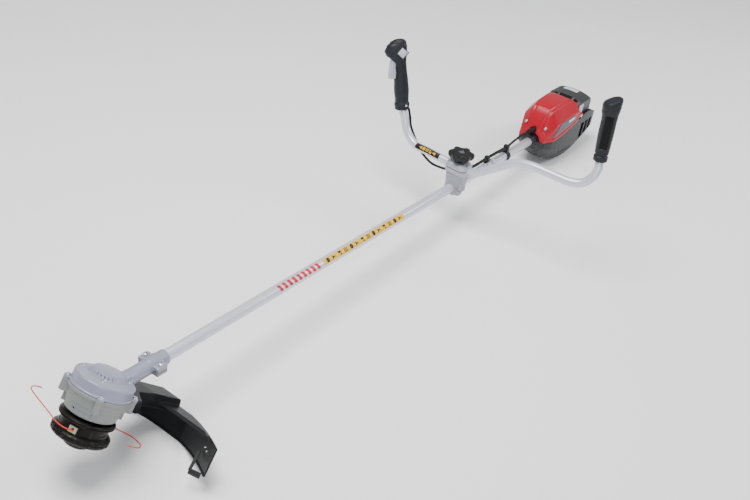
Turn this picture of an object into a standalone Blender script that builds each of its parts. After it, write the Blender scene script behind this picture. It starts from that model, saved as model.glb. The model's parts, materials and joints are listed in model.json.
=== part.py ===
"""Battery brush cutter with a bull-horn handlebar, a motor in the cutting head and a line head.

Tool frame, in millimetres: the shaft tube runs along X, +X towards the cutting head, +Y to the
user's left, +Z up, with the origin on the shaft axis under the handle clamp. The head has its own
frame, tipped HEAD_TIP about Y, whose Z is the spindle. At the end the whole tool is tipped by
lie_tilt() and set down, so that it rests on the guard's rear edge and on the rear foot.
"""
import math

import bmesh
import bpy
from mathutils import Matrix, Vector

MM = 0.001                # metres in a millimetre
GAP = 0.3                 # clearance between pieces that touch
TAU = 2 * math.pi

# Shaft and head
TUBE_R = 12.5             # shaft tube, outside
TUBE_WALL = 1.6
TUBE_REAR, TUBE_FRONT = -430.0, 1106.0
HEAD_X = 1178.0           # where the spindle crosses the shaft axis
HEAD_TIP = math.radians(-32)
NECK_R = 15.8
NECK_BACK, NECK_FRONT = 1016.0, 1148.0
EAR_X, EAR_Y = 1047.0, 20.5     # neck pinch bolts
COVER_R = 57.0
LUG_R = 62.0              # housing screws, from the spindle
LUG_ANGLES = [math.radians(a) for a in (-45, 45, 135, -135)]
COVER_LOW = 15.0          # height of the joint between cover and housing
SPINDLE_R = 6.0
LINE_HEIGHT = -56.0       # the cutting lines leave the head at this height

# Guard, in the head frame, where -X points back along the tool
GUARD_BACK = 197.0        # straight part of the skirt, behind the spindle
GUARD_TOP, GUARD_LOW = 0.0, -58.0
GUARD_WALL = 3.0
SHELF_FRONT = 151.0        # front edge of the skirt's flat top, behind the spindle
GUARD_BOLT_Y = 30.0

# Handle clamp and handlebar
CLAMP_BOLT_Y = 17.6
BAR_R = 11.0
BAR_Z = 55.0
SADDLE_Z = 40.5
KNOB_Z = 71.5
KNOB_R = 31.0
RIGHT_GRIP = Vector((-20.0, -214.0, 136.0))
RIGHT_AXIS = Vector((-0.084, -0.279, 0.958)).normalized()
LEFT_GRIP = Vector((-61.0, 338.4, 201.7))
LEFT_AXIS = Vector((-0.073, -0.086, 0.994)).normalized()
LOCK_HEIGHT = 143.0
LOCK_BACK = -1.0                 # the button's middle behind the grip's axis
TRIGGER_TURN = math.radians(-40)    # the trigger faces forward and outward

# Rear unit
FOOT_X, FOOT_Z = -545.0, -83.5      # middle of the foot's sole
BATTERY_X = (-655.0, -574.0)
BATTERY_TOP = 97.0

MATERIALS = {
    "silver_paint": ((0.60, 0.61, 0.68), 0.42, 0.55),
    "cast_aluminium": ((0.55, 0.56, 0.61), 0.50, 0.45),
    "black_plastic": ((0.022, 0.022, 0.024), 0.55, 0.0),
    "black_rubber": ((0.018, 0.018, 0.019), 0.75, 0.0),
    "charcoal_plastic": ((0.075, 0.075, 0.088), 0.55, 0.0),
    "red_plastic": ((0.55, 0.012, 0.02), 0.35, 0.0),
    "light_plastic": ((0.46, 0.45, 0.58), 0.45, 0.0),
    "grey_plastic": ((0.16, 0.17, 0.20), 0.50, 0.0),
    "bright_steel": ((0.70, 0.70, 0.72), 0.25, 1.0),
    "cream_ceramic": ((0.72, 0.66, 0.50), 0.35, 0.0),
    "red_nylon": ((0.75, 0.09, 0.03), 0.35, 0.0),
    "copper": ((0.70, 0.30, 0.15), 0.35, 1.0),
    "green_board": ((0.02, 0.16, 0.06), 0.50, 0.0),
}


# ---------------------------------------------------------------- scene helpers

def clear_scene():
    for old in list(bpy.data.objects):
        bpy.data.objects.remove(old, do_unlink=True)


def new_collection(name):
    made = bpy.data.collections.new(name)
    bpy.context.scene.collection.children.link(made)
    return made


def make_materials():
    made = {}
    for name, (colour, roughness, metallic) in MATERIALS.items():
        mat = bpy.data.materials.new(name)
        mat.use_nodes = True
        shader = mat.node_tree.nodes["Principled BSDF"]
        shader.inputs["Base Color"].default_value = (*colour, 1.0)
        shader.inputs["Roughness"].default_value = roughness
        shader.inputs["Metallic"].default_value = metallic
        made[name] = mat
    return made


def empty(name, parent=None, location=(0, 0, 0), rotation=None):
    made = bpy.data.objects.new(name, None)
    PARTS.objects.link(made)
    made.parent = parent
    place(made, location, rotation)
    return made


def place(obj, location=(0, 0, 0), rotation=None):
    """Put an object in its parent's frame: millimetres, and a 3x3 matrix or None."""
    obj.location = Vector(location) * MM
    if rotation is not None:
        obj.rotation_euler = rotation.to_euler()


def link(name, mesh, material, parent, location=(0, 0, 0), rotation=None, smooth=35):
    obj = bpy.data.objects.new(name, mesh)
    PARTS.objects.link(obj)
    mesh.materials.clear()
    mesh.materials.append(MATS[material])
    if smooth:
        mesh.shade_smooth()
        mesh.set_sharp_from_angle(angle=math.radians(smooth))
    obj.parent = parent
    place(obj, location, rotation)
    return obj


def hide_as_cutter(obj):
    PARTS.objects.unlink(obj)
    CUTTERS.objects.link(obj)
    obj.hide_render = True
    obj.display_type = "WIRE"
    return obj


def boolean(obj, other, operation):
    mod = obj.modifiers.new(operation.lower(), "BOOLEAN")
    mod.object = hide_as_cutter(other)
    mod.operation = operation
    mod.solver = "EXACT"
    return obj


def cut(obj, *others):
    for other in others:
        boolean(obj, other, "DIFFERENCE")
    return obj


def join(obj, *others):
    for other in others:
        boolean(obj, other, "UNION")
    return obj


def bevel(obj, width, segments=2, angle=35):
    mod = obj.modifiers.new("edges", "BEVEL")
    mod.width = width * MM
    mod.segments = segments
    mod.limit_method = "ANGLE"
    mod.angle_limit = math.radians(angle)
    return obj


# ---------------------------------------------------------------- shape helpers

def bmesh_to_mesh(name, bm):
    bmesh.ops.recalc_face_normals(bm, faces=bm.faces)
    mesh = bpy.data.meshes.new(name)
    bm.to_mesh(mesh)
    bm.free()
    return mesh


def box(name, low, high, material, parent, **at):
    """A box between two corners."""
    low, high = Vector(low) * MM, Vector(high) * MM
    bm = bmesh.new()
    bmesh.ops.create_cube(bm, size=1.0)
    size = Matrix.Diagonal((*(high - low), 1.0))
    bmesh.ops.transform(bm, matrix=Matrix.Translation((low + high) / 2) @ size, verts=bm.verts)
    return link(name, bmesh_to_mesh(name, bm), material, parent, smooth=0, **at)


def rod(name, radius, start, end, material, parent, sides=24, end_radius=None, **at):
    """A cylinder or cone between two points."""
    start, end = Vector(start) * MM, Vector(end) * MM
    along = end - start
    turn = along.to_track_quat("Z", "Y").to_matrix().to_4x4()
    bm = bmesh.new()
    bmesh.ops.create_cone(bm, cap_ends=True, segments=sides, radius1=radius * MM,
                          radius2=(radius if end_radius is None else end_radius) * MM,
                          depth=along.length)
    bmesh.ops.transform(bm, matrix=Matrix.Translation((start + end) / 2) @ turn, verts=bm.verts)
    return link(name, bmesh_to_mesh(name, bm), material, parent, **at)


def turned(name, profile, material, parent, steps=28, closed=True, **at):
    """A profile of (radius, height) points, outer side top to bottom, swept about Z."""
    bm = bmesh.new()
    verts = [bm.verts.new((r * MM, 0, z * MM)) for r, z in profile]
    for first, second in zip(verts, verts[1:]):
        bm.edges.new((first, second))
    if closed:
        bm.edges.new((verts[-1], verts[0]))
    mesh = bpy.data.meshes.new(name)
    bm.to_mesh(mesh)
    bm.free()
    obj = link(name, mesh, material, parent, smooth=0, **at)
    mod = obj.modifiers.new("turn", "SCREW")
    mod.steps = mod.render_steps = steps
    mod.use_merge_vertices = True
    mod.merge_threshold = 0.0001
    mod.use_smooth_shade = False
    return obj


def loft(name, rings, material, parent, **at):
    """A closed skin over rings of points that all have the same count, with flat ends."""
    bm = bmesh.new()
    made = [[bm.verts.new(Vector(p) * MM) for p in ring] for ring in rings]
    count = len(made[0])
    for first, second in zip(made, made[1:]):
        for i in range(count):
            j = (i + 1) % count
            bm.faces.new((first[i], first[j], second[j], second[i]))
    bm.faces.new(made[0])
    bm.faces.new(made[-1])
    bmesh.ops.triangulate(bm, faces=bm.faces)
    return link(name, bmesh_to_mesh(name, bm), material, parent, **at)


def flat(name, outline, low, high, material, parent, **at):
    """A flat outline of (x, y) points, extruded from one height to the other."""
    rings = [[(x, y, z) for x, y in outline] for z in (low, high)]
    return loft(name, rings, material, parent, smooth=0, **at)


def smooth_route(points, per_span=6):
    """Points on a Catmull-Rom curve through the given ones."""
    points = [Vector(p) for p in points]
    ends = [2 * points[0] - points[1], *points, 2 * points[-1] - points[-2]]
    route = []
    for a, b, c, d in zip(ends, ends[1:], ends[2:], ends[3:]):
        for i in range(per_span):
            t = i / per_span
            route.append(0.5 * (2 * b + (c - a) * t + (2 * a - 5 * b + 4 * c - d) * t ** 2
                                + (3 * b - a - 3 * c + d) * t ** 3))
    route.append(points[-1])
    return route


def tube(name, route, radius, material, parent, resolution=3):
    """A solid round wire or tube along a route, as a mesh."""
    curve = bpy.data.curves.new(name, "CURVE")
    curve.dimensions = "3D"
    curve.bevel_depth = radius * MM
    curve.bevel_resolution = resolution
    curve.use_fill_caps = True
    spline = curve.splines.new("POLY")
    spline.points.add(len(route) - 1)
    for point, where in zip(spline.points, route):
        point.co = (*(Vector(where) * MM), 1.0)
    guide = bpy.data.objects.new(name + "_route", curve)
    CUTTERS.objects.link(guide)
    graph = bpy.context.evaluated_depsgraph_get()
    mesh = bpy.data.meshes.new_from_object(guide.evaluated_get(graph))
    bpy.data.objects.remove(guide, do_unlink=True)
    bm = bmesh.new()
    bm.from_mesh(mesh)
    bmesh.ops.remove_doubles(bm, verts=bm.verts, dist=1e-6)
    bmesh.ops.recalc_face_normals(bm, faces=bm.faces)
    bm.to_mesh(mesh)
    bm.free()
    return link(name, mesh, material, parent)


def oval(front, back, side, count=16, power=2.4):
    """An oval (x, y) outline: front along +X, back along -X, side both ways along Y."""
    outline = []
    for i in range(count):
        angle = TAU * i / count
        c, s = math.cos(angle), math.sin(angle)
        reach = front if c > 0 else back
        outline.append((math.copysign(abs(c) ** (2 / power), c) * reach,
                        math.copysign(abs(s) ** (2 / power), s) * side))
    return outline


def tip(angle):
    return Matrix.Rotation(angle, 3, "Y")


def along_x():
    """The turn that lays a piece made along Z down along X."""
    return Matrix.Rotation(math.pi / 2, 3, "Y")


def facing(axis, turn):
    """A frame with Z along an axis and X turned by an angle from the tool's X."""
    ahead = Vector((math.cos(turn), math.sin(turn), 0))
    z = axis.normalized()
    y = z.cross(ahead).normalized()
    return Matrix((y.cross(z), y, z)).transposed()


def screw_profile(head_r, head_h, shank_r, length, top):
    """A cap screw that stands on a face at height top and reaches down by length."""
    return [(0, top + head_h), (head_r, top + head_h), (head_r, top + GAP), (shank_r, top + GAP),
            (shank_r, top - length), (0, top - length)]


# ---------------------------------------------------------------- cutting head

def make_motor_cover(head, tool):
    profile = [(0, 46), (20, 45), (33, 42), (45, 40), (54, 39), (COVER_R, 36), (COVER_R + 0.5, 19),
               (59, 18), (59, COVER_LOW), (54, COVER_LOW), (53.5, 33), (19, 33), (19, 21),
               (14.3, 21), (14.3, 30), (0, 30)]
    cover = turned("motor_cover", profile, "silver_paint", head, steps=32, closed=False)
    for angle in LUG_ANGLES:
        ear = box("cover_ear", (50, -7, COVER_LOW), (68, 7, 20.5), "silver_paint", head,
                  rotation=Matrix.Rotation(angle, 3, "Z"))
        join(cover, ear)
    neck = rod("neck_body", NECK_R - 1, (NECK_BACK, 0, 0), (NECK_FRONT, 0, 0), "silver_paint",
               tool, sides=24, end_radius=NECK_R + 1)
    ears = box("neck_ears", (EAR_X - 14, -27, -1), (EAR_X + 14, 27, 9), "silver_paint", tool)
    join(cover, neck, ears)
    below = box("neck_split", (EAR_X - 16, -30, -30), (EAR_X + 16, 30, 0), "silver_paint", tool)
    bore = rod("neck_bore", TUBE_R + GAP, (NECK_BACK - 5, 0, 0), (TUBE_FRONT + 1, 0, 0),
               "silver_paint", tool)
    lead_way = rod("lead_way", 7, (TUBE_FRONT - 5, 0, 0), (NECK_FRONT + 5, 0, 0),
                   "silver_paint", tool, sides=16)
    room = turned("motor_room", [(53.4, 32.8), (53.4, -40), (19.4, -40), (19.4, 32.8)],
                  "silver_paint", head)
    cut(cover, below, bore, lead_way, room)
    for angle in LUG_ANGLES:
        where = (LUG_R * math.cos(angle), LUG_R * math.sin(angle), 0)
        cut(cover, rod("ear_hole", 2.5, (0, 0, 10), (0, 0, 28), "silver_paint", head, sides=12,
                       location=where))
    for side in (-1, 1):
        cut(cover, rod("bolt_hole", 3.3, (EAR_X, side * EAR_Y, -5), (EAR_X, side * EAR_Y, 15),
                       "silver_paint", tool, sides=12))
    for i in range(7):
        angle = math.radians(-30 + 13 * i)
        cut(cover, box("vent", (31, -1.6, 38), (38, 1.6, 50), "silver_paint", head,
                       rotation=Matrix.Rotation(angle, 3, "Z")))
    return cover


def make_neck_clamp(tool):
    x0, x1 = EAR_X - 13, EAR_X + 13
    cap = rod("neck_clamp_cap", NECK_R - 1, (x0, 0, 0), (x1, 0, 0), "cast_aluminium", tool)
    join(cap, box("cap_ears", (x0, -27, -11), (x1, 27, -1.5), "cast_aluminium", tool))
    cut(cap, box("cap_top", (x0 - 1, -40, -1), (x1 + 1, 40, 30), "cast_aluminium", tool),
        rod("cap_bore", TUBE_R + GAP, (x0 - 1, 0, 0), (x1 + 1, 0, 0), "cast_aluminium", tool))
    for side, name in ((-1, "right"), (1, "left")):
        y = side * EAR_Y
        cut(cap, rod("cap_hole", 3.3, (EAR_X, y, -20), (EAR_X, y, 5), "cast_aluminium", tool,
                     sides=12))
        turned("neck_bolt_" + name, screw_profile(4.6, 5, 3, 22, 9), "bright_steel", tool,
               steps=14, closed=False, location=(EAR_X, y, 0))


def make_motor_housing(head, tool):
    top = COVER_LOW - GAP
    profile = [(59.5, top), (59.5, 10), (57, 8.5), (56, -7), (54.5, -9), (53, -18), (51.5, -20),
               (49.5, -29), (47, -31), (11.3, -31), (11.3, -22.5), (15, -22.5), (15, -27),
               (45, -27), (51, -14), (53.5, top)]
    housing = turned("motor_housing", profile, "cast_aluminium", head, steps=32)
    for angle in LUG_ANGLES:
        turn = Matrix.Rotation(angle, 3, "Z")
        join(housing, box("lug", (52, -6.5, -9), (68, 6.5, top), "cast_aluminium", head,
                          rotation=turn))
    neck = rod("neck_room", NECK_R + 1.5 + GAP, (NECK_BACK, 0, 0), (NECK_FRONT + 2, 0, 0),
               "cast_aluminium", tool)
    cut(housing, neck)
    for index, angle in enumerate(LUG_ANGLES):
        where = (LUG_R * math.cos(angle), LUG_R * math.sin(angle), 0)
        cut(housing, rod("lug_hole", 2.5, (0, 0, -4), (0, 0, 40), "cast_aluminium", head,
                         sides=12, location=where))
        turned(f"housing_screw_{index + 1}", screw_profile(4.4, 3.4, 2.2, 20, 20.5),
               "bright_steel", head, steps=14, closed=False, location=where)
    for side in (-1, 1):
        y = side * GUARD_BOLT_Y
        join(housing, box("guard_pad", (-60, y - 8, -6), (-50, y + 8, 3), "cast_aluminium", head))
        cut(housing, rod("pad_hole", 2.7, (-66, y, -1.5), (-52, y, -1.5), "cast_aluminium", head,
                         sides=12))
    return housing


def make_motor(head):
    stator = turned("stator", [(50.6, 10), (50.6, -12), (31, -12), (31, 10)], "copper", head,
                    steps=32)
    for i in range(9):
        turn = Matrix.Rotation(TAU * i / 9, 3, "Z")
        cut(stator, box("slot", (25, -3, -14), (40, 3, 12), "copper", head, rotation=turn))
    turned("rotor", [(30, 10), (30, -11), (SPINDLE_R + GAP, -11), (SPINDLE_R + GAP, 10)],
           "bright_steel", head, steps=24)
    turned("upper_bearing", [(14, 29.7), (14, 21.5), (SPINDLE_R + GAP, 21.5),
                             (SPINDLE_R + GAP, 29.7)], "bright_steel", head, steps=20)
    turned("lower_bearing", [(11, -23), (11, -30), (SPINDLE_R + GAP, -30),
                             (SPINDLE_R + GAP, -23)], "bright_steel", head, steps=20)
    turned("motor_shaft", [(0, 29.5), (SPINDLE_R, 29.5), (SPINDLE_R, -75.5), (5, -76.5), (0, -76.5)],
           "bright_steel", head, steps=16, closed=False)


def make_line_head(head):
    bore = SPINDLE_R + GAP
    turned("line_head_plate", [(bore, -33.5), (28, -33.5), (34, -35.5), (49, -36), (53, -38.5),
                               (53, -43.5), (48.5, -46), (bore, -46)], "black_plastic", head,
           steps=32)
    body = turned("line_head_body", [(46.5, -46.3), (46.5, -62), (52, -65), (55, -68), (55, -76),
                                     (51.5, -79.5), (40, -81), (31, -81), (31, -76), (42.5, -74),
                                     (42.5, -46.3)], "black_plastic", head, steps=32)
    turned("line_spool", [(12.5, -51), (39.5, -51), (39.5, -53), (17, -53), (17, -68), (39.5, -68),
                          (39.5, -70), (28, -70), (28, -74.5), (7, -74.5), (7, -70), (12.5, -70)],
           "black_plastic", head, steps=20)
    turned("spool_winding", [(36, -53.3), (36, -67.7), (17.3, -67.7), (17.3, -53.3)],
           "red_nylon", head, steps=20)
    turned("bump_knob", [(0, -86), (7, -86), (7, -74.8), (26, -74.8), (26.8, -79), (26.5, -88),
                         (24.5, -93.5), (19, -97), (10, -98.5), (0, -99)], "black_rubber", head,
           steps=24, closed=False)
    coil = [(9.2 * math.cos(a), 9.2 * math.sin(a), -68.7 + 21 * a / (4 * TAU))
            for a in (TAU * i / 10 for i in range(4 * 10 + 1))]
    tube("bump_spring", coil, 0.9, "bright_steel", head, resolution=1)
    for name, angle in (("front", math.radians(20)), ("rear", math.radians(200))):
        turn = Matrix.Rotation(angle, 3, "Z")
        cut(body, box("window", (38, -8, -62.5), (50, 8, -49.5), "black_plastic", head,
                      rotation=turn))
        eyelet = box("eyelet_" + name, (43, -7.7, -62.2), (48.5, 7.7, -49.8),
                     "cream_ceramic", head, rotation=turn)
        cut(eyelet, rod("eyelet_bore", 2.2, (38, 0, LINE_HEIGHT), (56, 0, LINE_HEIGHT),
                        "cream_ceramic", head, sides=12, rotation=turn))


def make_cutting_lines(head):
    """Two cut lengths of stiff line that curl back from the eyelets."""
    z = LINE_HEIGHT
    turn = Matrix.Rotation(math.radians(20), 3, "Z")
    root = turn @ Vector((43, 0, z))
    out = turn @ Vector((52, 0, z))
    front = [root, out, (58.5, 6, z), (57, -17, z), (47, -45, z), (37, -75, z), (27, -103, z),
             (17, -128, z), (7, -139, z), (-5, -141, z), (-16, -135, z)]
    rear = [(-root.x, -root.y, z), (-out.x, -out.y, z), (-60, -10, z), (-64, 19, z), (-77, 45, z),
            (-74, 75, z), (-57, 88, z), (-36, 79, z)]
    for name, points in (("front", front), ("rear", rear)):
        tube("cutting_line_" + name, smooth_route(points, 3), 1.2, "red_nylon", head,
             resolution=1)


# ---------------------------------------------------------------- guard

def guard_line(inset, count=8):
    """The skirt in plan, moved inwards by inset: a straight back with an arc at each side."""
    back = -(GUARD_BACK - inset)
    points = [(back + 66, -(112 - inset * 0.8)), (back + 36, -(84 - inset * 0.6))]
    points += [(back + 12, -(47 - inset * 0.3)), (back, 0), (back, 66)]
    for i in range(1, count + 1):
        t = i / count
        points.append((back + 68 * t ** 1.5, 66 + (131 - inset * 0.5) * t))
    return points


def hump_rings(inset, low):
    """The raised channel that ties the skirt to the motor housing, as rings from near to far."""
    near, far = 63.0 + inset, GUARD_BACK - 4.0 - inset
    rings = []
    for reach, right, left, top in ((near, -46, 44, 9), (78, -52, 44, 10.5), (102, -57, 12, 12),
                                    (140, -45, 22, 14), (far, -18, 46, 14)):
        right, left, top = right + inset, left - inset, top - inset
        rings.append([(-reach, right, low), (-reach, left, low), (-reach, left - 6, top),
                      (-reach, right + 6, top)])
    return rings


def make_guard(head):
    guard = flat("debris_guard", guard_line(0) + guard_line(GUARD_WALL)[::-1], GUARD_LOW,
                 GUARD_TOP, "black_plastic", head)
    shelf = [point for point in guard_line(1.0) if point[0] < -SHELF_FRONT]
    join(guard, flat("shelf", shelf, GUARD_TOP - GUARD_WALL - 0.2, GUARD_TOP - 0.2,
                     "black_plastic", head))
    join(guard, loft("hump", hump_rings(0.0, GUARD_TOP - 12), "black_plastic", head, smooth=0))
    cut(guard, loft("hump_hollow", hump_rings(GUARD_WALL, GUARD_TOP - 22), "black_plastic", head,
                    smooth=0))
    for name, side in (("right", -1), ("left", 1)):
        y = side * GUARD_BOLT_Y
        join(guard, box("guard_arm", (-68, y - 9, -13), (-62.5, y + 9, 4.5), "black_plastic", head))
        cut(guard, rod("arm_hole", 2.7, (-75, y, -1.5), (-55, y, -1.5), "black_plastic", head,
                       sides=12))
        turned("guard_bolt_" + name, screw_profile(4.6, 3.5, 2.3, 15, 69.3), "bright_steel",
               head, steps=12, closed=False, location=(0, y, -1.5),
               rotation=Matrix.Rotation(-math.pi / 2, 3, "Y"))
    return guard


def make_line_cutter(head):
    """A bent steel strip with a blade, screwed inside the left end of the skirt."""
    blade = box("line_cutter_blade", (-1.2, -12, -5), (1.2, 12, 4), "bright_steel", head,
                location=(-121, 178, -58), rotation=Matrix.Rotation(math.radians(25), 3, "Z"))
    strip = rod("cutter_strip", 2.2, (-117, 168, -58), (-156, 147, -34), "bright_steel", head,
                sides=8)
    return join(blade, strip)


# ---------------------------------------------------------------- shaft and its fittings

def make_shaft(tool):
    r0, r1 = TUBE_R - TUBE_WALL, TUBE_R
    turned("shaft_tube", [(r1, TUBE_FRONT), (r1, TUBE_REAR), (r0, TUBE_REAR), (r0, TUBE_FRONT)],
           "silver_paint", tool, steps=24, rotation=along_x())
    tube("motor_lead", [(-445, 0, 0), (300, 0, 0), (1126, 0, 0)], 4.0, "black_rubber", tool,
         resolution=2)


def make_harness_hanger(tool):
    """A collar on the tube with a drilled strip that the harness hook clips into."""
    hanger = turned("harness_hanger", [(15.6, -166), (15.6, -182), (TUBE_R + GAP, -182),
                                       (TUBE_R + GAP, -166)], "cast_aluminium", tool,
                    rotation=along_x())
    lean = Matrix.Rotation(math.radians(-38), 3, "X")
    strip = box("strip", (-176, -8, 13.4), (-102, 8, 16.2), "cast_aluminium", tool,
                rotation=lean)
    join(hanger, strip)
    for x in (-112, -128, -144):
        cut(hanger, rod("hook_hole", 4.2, (x, 0, 8), (x, 0, 22), "cast_aluminium", tool,
                        sides=16, rotation=lean))
    return hanger


CABLE_ROUTE = [(-52, -6, 24), (-75, -3, 25), (-100, 0, 26.5), (-150, 0, 28), (-200, 0, 28),
               (-255, 0, 27), (-300, 0, 34), (-340, 0, 38), (-392, 0, 37)]
GRIP_CABLE_ROUTE = [(-32, -200, 134), (-31, -190, 112), (-29, -182, 90), (-29, -164, 63),
                    (-28, -146, 42), (-28, -127, 26), (-28, -97, 12.5), (-33, -62, 11),
                    (-44, -34, 15), (-51.5, -10, 23)]
CABLE_R = 3.6


def make_cables(tool, swivel):
    tube("shaft_cable", smooth_route(CABLE_ROUTE, 3), CABLE_R, "black_rubber", tool, resolution=2)
    tube("grip_cable", smooth_route(GRIP_CABLE_ROUTE, 3), CABLE_R - 0.3, "black_rubber", swivel,
         resolution=2)


def make_cable_band(tool):
    band = turned("cable_band", [(15.5, -251), (15.5, -263), (TUBE_R + GAP, -263),
                                 (TUBE_R + GAP, -251)], "black_plastic", tool,
                  rotation=along_x())
    join(band, box("band_block", (-262, -8, 14), (-252, 8, 34), "black_plastic", tool))
    cut(band, rod("band_way", CABLE_R + 0.7, (-240, 0, 26.6), (-275, 0, 28.2), "black_plastic",
                  tool, sides=16))


def make_cable_clip(tool):
    clip = box("cable_clip", (-158, -6.5, 18.1), (-146, 6.5, 34), "black_plastic", tool)
    cut(clip, rod("clip_way", CABLE_R + 0.5, (-140, 0, 28), (-165, 0, 28), "black_plastic",
                  tool, sides=16))


# ---------------------------------------------------------------- handle clamp

def block_ring(x, y, z, corner=8):
    """An eight-sided outline at a height: half length x, half width y, cut corners."""
    return [(x, y - corner, z), (x - corner, y, z), (-x + corner, y, z), (-x, y - corner, z),
            (-x, -y + corner, z), (-x + corner, -y, z), (x - corner, -y, z), (x, -y + corner, z)]


def make_clamp(tool, swivel):
    base = loft("clamp_base", [block_ring(24, 22, 0.5), block_ring(25, 22, 12),
                               block_ring(26, 24, 27), block_ring(26, 24, SADDLE_Z - GAP)],
                "cast_aluminium", tool, smooth=0)
    bore = rod("base_bore", TUBE_R + GAP, (-40, 0, 0), (40, 0, 0), "cast_aluminium", tool)
    stud_hole = rod("stud_hole", 4.3, (0, 0, 15), (0, 0, 60), "cast_aluminium", tool, sides=16)
    cut(base, bore, stud_hole)
    cap = loft("clamp_shaft_cap", [block_ring(20, 14, -21), block_ring(24, 22.5, -12),
                                   block_ring(24, 22.5, -0.5)], "cast_aluminium", tool, smooth=0)
    cut(cap, rod("cap_bore", TUBE_R + GAP, (-40, 0, 0), (40, 0, 0), "cast_aluminium", tool))
    for name, side in (("left", 1), ("right", -1)):
        spot = (0, side * CLAMP_BOLT_Y, 0)
        cut(cap, rod("cap_hole", 2.8, (0, 0, -25), (0, 0, 5), "cast_aluminium", tool, sides=12,
                     location=spot),
            rod("cap_counterbore", 4.3, (0, 0, -30), (0, 0, -17), "cast_aluminium", tool,
                sides=16, location=spot))
        cut(base, rod("base_hole", 2.8, (0, 0, -5), (0, 0, 18), "cast_aluminium", tool,
                      sides=12, location=spot))
        turned("clamp_bolt_" + name, screw_profile(3.9, 5, 2.5, 28, 17), "bright_steel", tool,
               steps=14, closed=False, location=spot, rotation=Matrix.Rotation(math.pi, 3, "X"))
    turned("clamp_stud", [(0, 84), (4, 84), (4, 16), (0, 16)], "bright_steel", tool, steps=16,
           closed=False)
    make_bar_holder(swivel)


def make_bar_holder(swivel):
    """The two shells that hold the bar and swivel with it on the stud."""
    split = BAR_Z
    saddle = loft("clamp_saddle", [block_ring(26, 29, SADDLE_Z), block_ring(27, 29, 47),
                                   block_ring(26, 29, split - 0.6)], "silver_paint", swivel,
                  smooth=0)
    cap = loft("clamp_top_cap", [block_ring(26, 29, split + 0.6), block_ring(27, 29, 61),
                                 block_ring(23, 25, 67.5), block_ring(16, 17, KNOB_Z - GAP)],
               "silver_paint", swivel, smooth=0)
    for piece in (saddle, cap):
        cut(piece, rod("bar_way", BAR_R + GAP, (0, -50, BAR_Z), (0, 50, BAR_Z), "silver_paint",
                       swivel),
            rod("stud_way", 4.3, (0, 0, 30), (0, 0, 80), "silver_paint", swivel, sides=16))


def make_knob(knob):
    outline = []
    for i in range(36):
        angle = TAU * i / 36
        reach = KNOB_R + 3.6 * math.cos(6 * angle)
        outline.append((reach * math.cos(angle), reach * math.sin(angle)))
    lobes = loft("clamp_knob", [[(x * k, y * k, z) for x, y in outline]
                                for k, z in ((0.62, 7), (0.92, 10.5), (1, 15), (1, 22),
                                             (0.86, 26.5), (0.45, 28))], "black_plastic", knob)
    join(lobes, rod("knob_hub", 13, (0, 0, 0), (0, 0, 10.5), "black_plastic", knob, sides=24,
                    end_radius=17))
    cut(lobes, rod("knob_bore", 4.3, (0, 0, -5), (0, 0, 13.5), "black_plastic", knob, sides=16))
    return lobes


# ---------------------------------------------------------------- handlebar and grips

def bar_route():
    right_end = RIGHT_GRIP + RIGHT_AXIS * 66
    left_end = LEFT_GRIP + LEFT_AXIS * 116
    middle = [(-17, -198, 111), (-12, -183, 84), (-7, -162, 66), (-3, -138, 57), (-1, -102, 57),
              (0, -60, 55.6), (0, -38, 55), (0, 0, 55), (0, 32, 55), (0, 40, 55.4), (-1, 52, 59.5),
              (-6, 76, 75),
              (-14, 107, 97), (-21, 140, 119), (-24, 180, 130), (-25, 240, 132), (-26, 292, 133),
              (-33, 322, 141), (-42, 338, 159), (-51, 343, 178)]
    points = [right_end, RIGHT_GRIP + RIGHT_AXIS * 20, RIGHT_GRIP] + middle
    points += [LEFT_GRIP, LEFT_GRIP + LEFT_AXIS * 20, left_end]
    return smooth_route(points, 3)


def make_handlebar(swivel):
    bar = tube("handlebar", bar_route(), BAR_R, "silver_paint", swivel, resolution=2)
    cut(bar, rod("stud_cross_hole", 4.4, (0, 0, 35), (0, 0, 75), "silver_paint", swivel,
                 sides=16))


def grip_rings(stations, count=16):
    return [[(x, y, z) for x, y in oval(front, back, side, count)]
            for z, front, back, side in stations]


def make_left_grip(swivel):
    frame = facing(LEFT_AXIS, TRIGGER_TURN)
    stations = [(-3, 14.5, 14.5, 14), (-1, 16, 16, 15.5), (13, 16, 16, 15.5),
                (16, 15, 15, 14.5), (30, 16, 16, 15), (70, 18.5, 17.5, 16.5),
                (100, 17.5, 17.5, 16.5), (122, 19.5, 19.5, 17.5), (138, 24, 23, 20),
                (150, 26, 24.5, 21), (158, 24, 22.5, 19.5), (161, 18, 16, 14)]
    grip = loft("left_grip", grip_rings(stations), "black_rubber", swivel, location=LEFT_GRIP,
                rotation=frame)
    cut(grip, rod("grip_bore", BAR_R + GAP, LEFT_GRIP - LEFT_AXIS * 12,
                  LEFT_GRIP + LEFT_AXIS * 120, "black_rubber", swivel, sides=24))
    cut(grip, tube("grip_mouth", bar_route()[-16:-3], BAR_R + 0.8, "black_rubber", swivel))
    return grip


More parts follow.
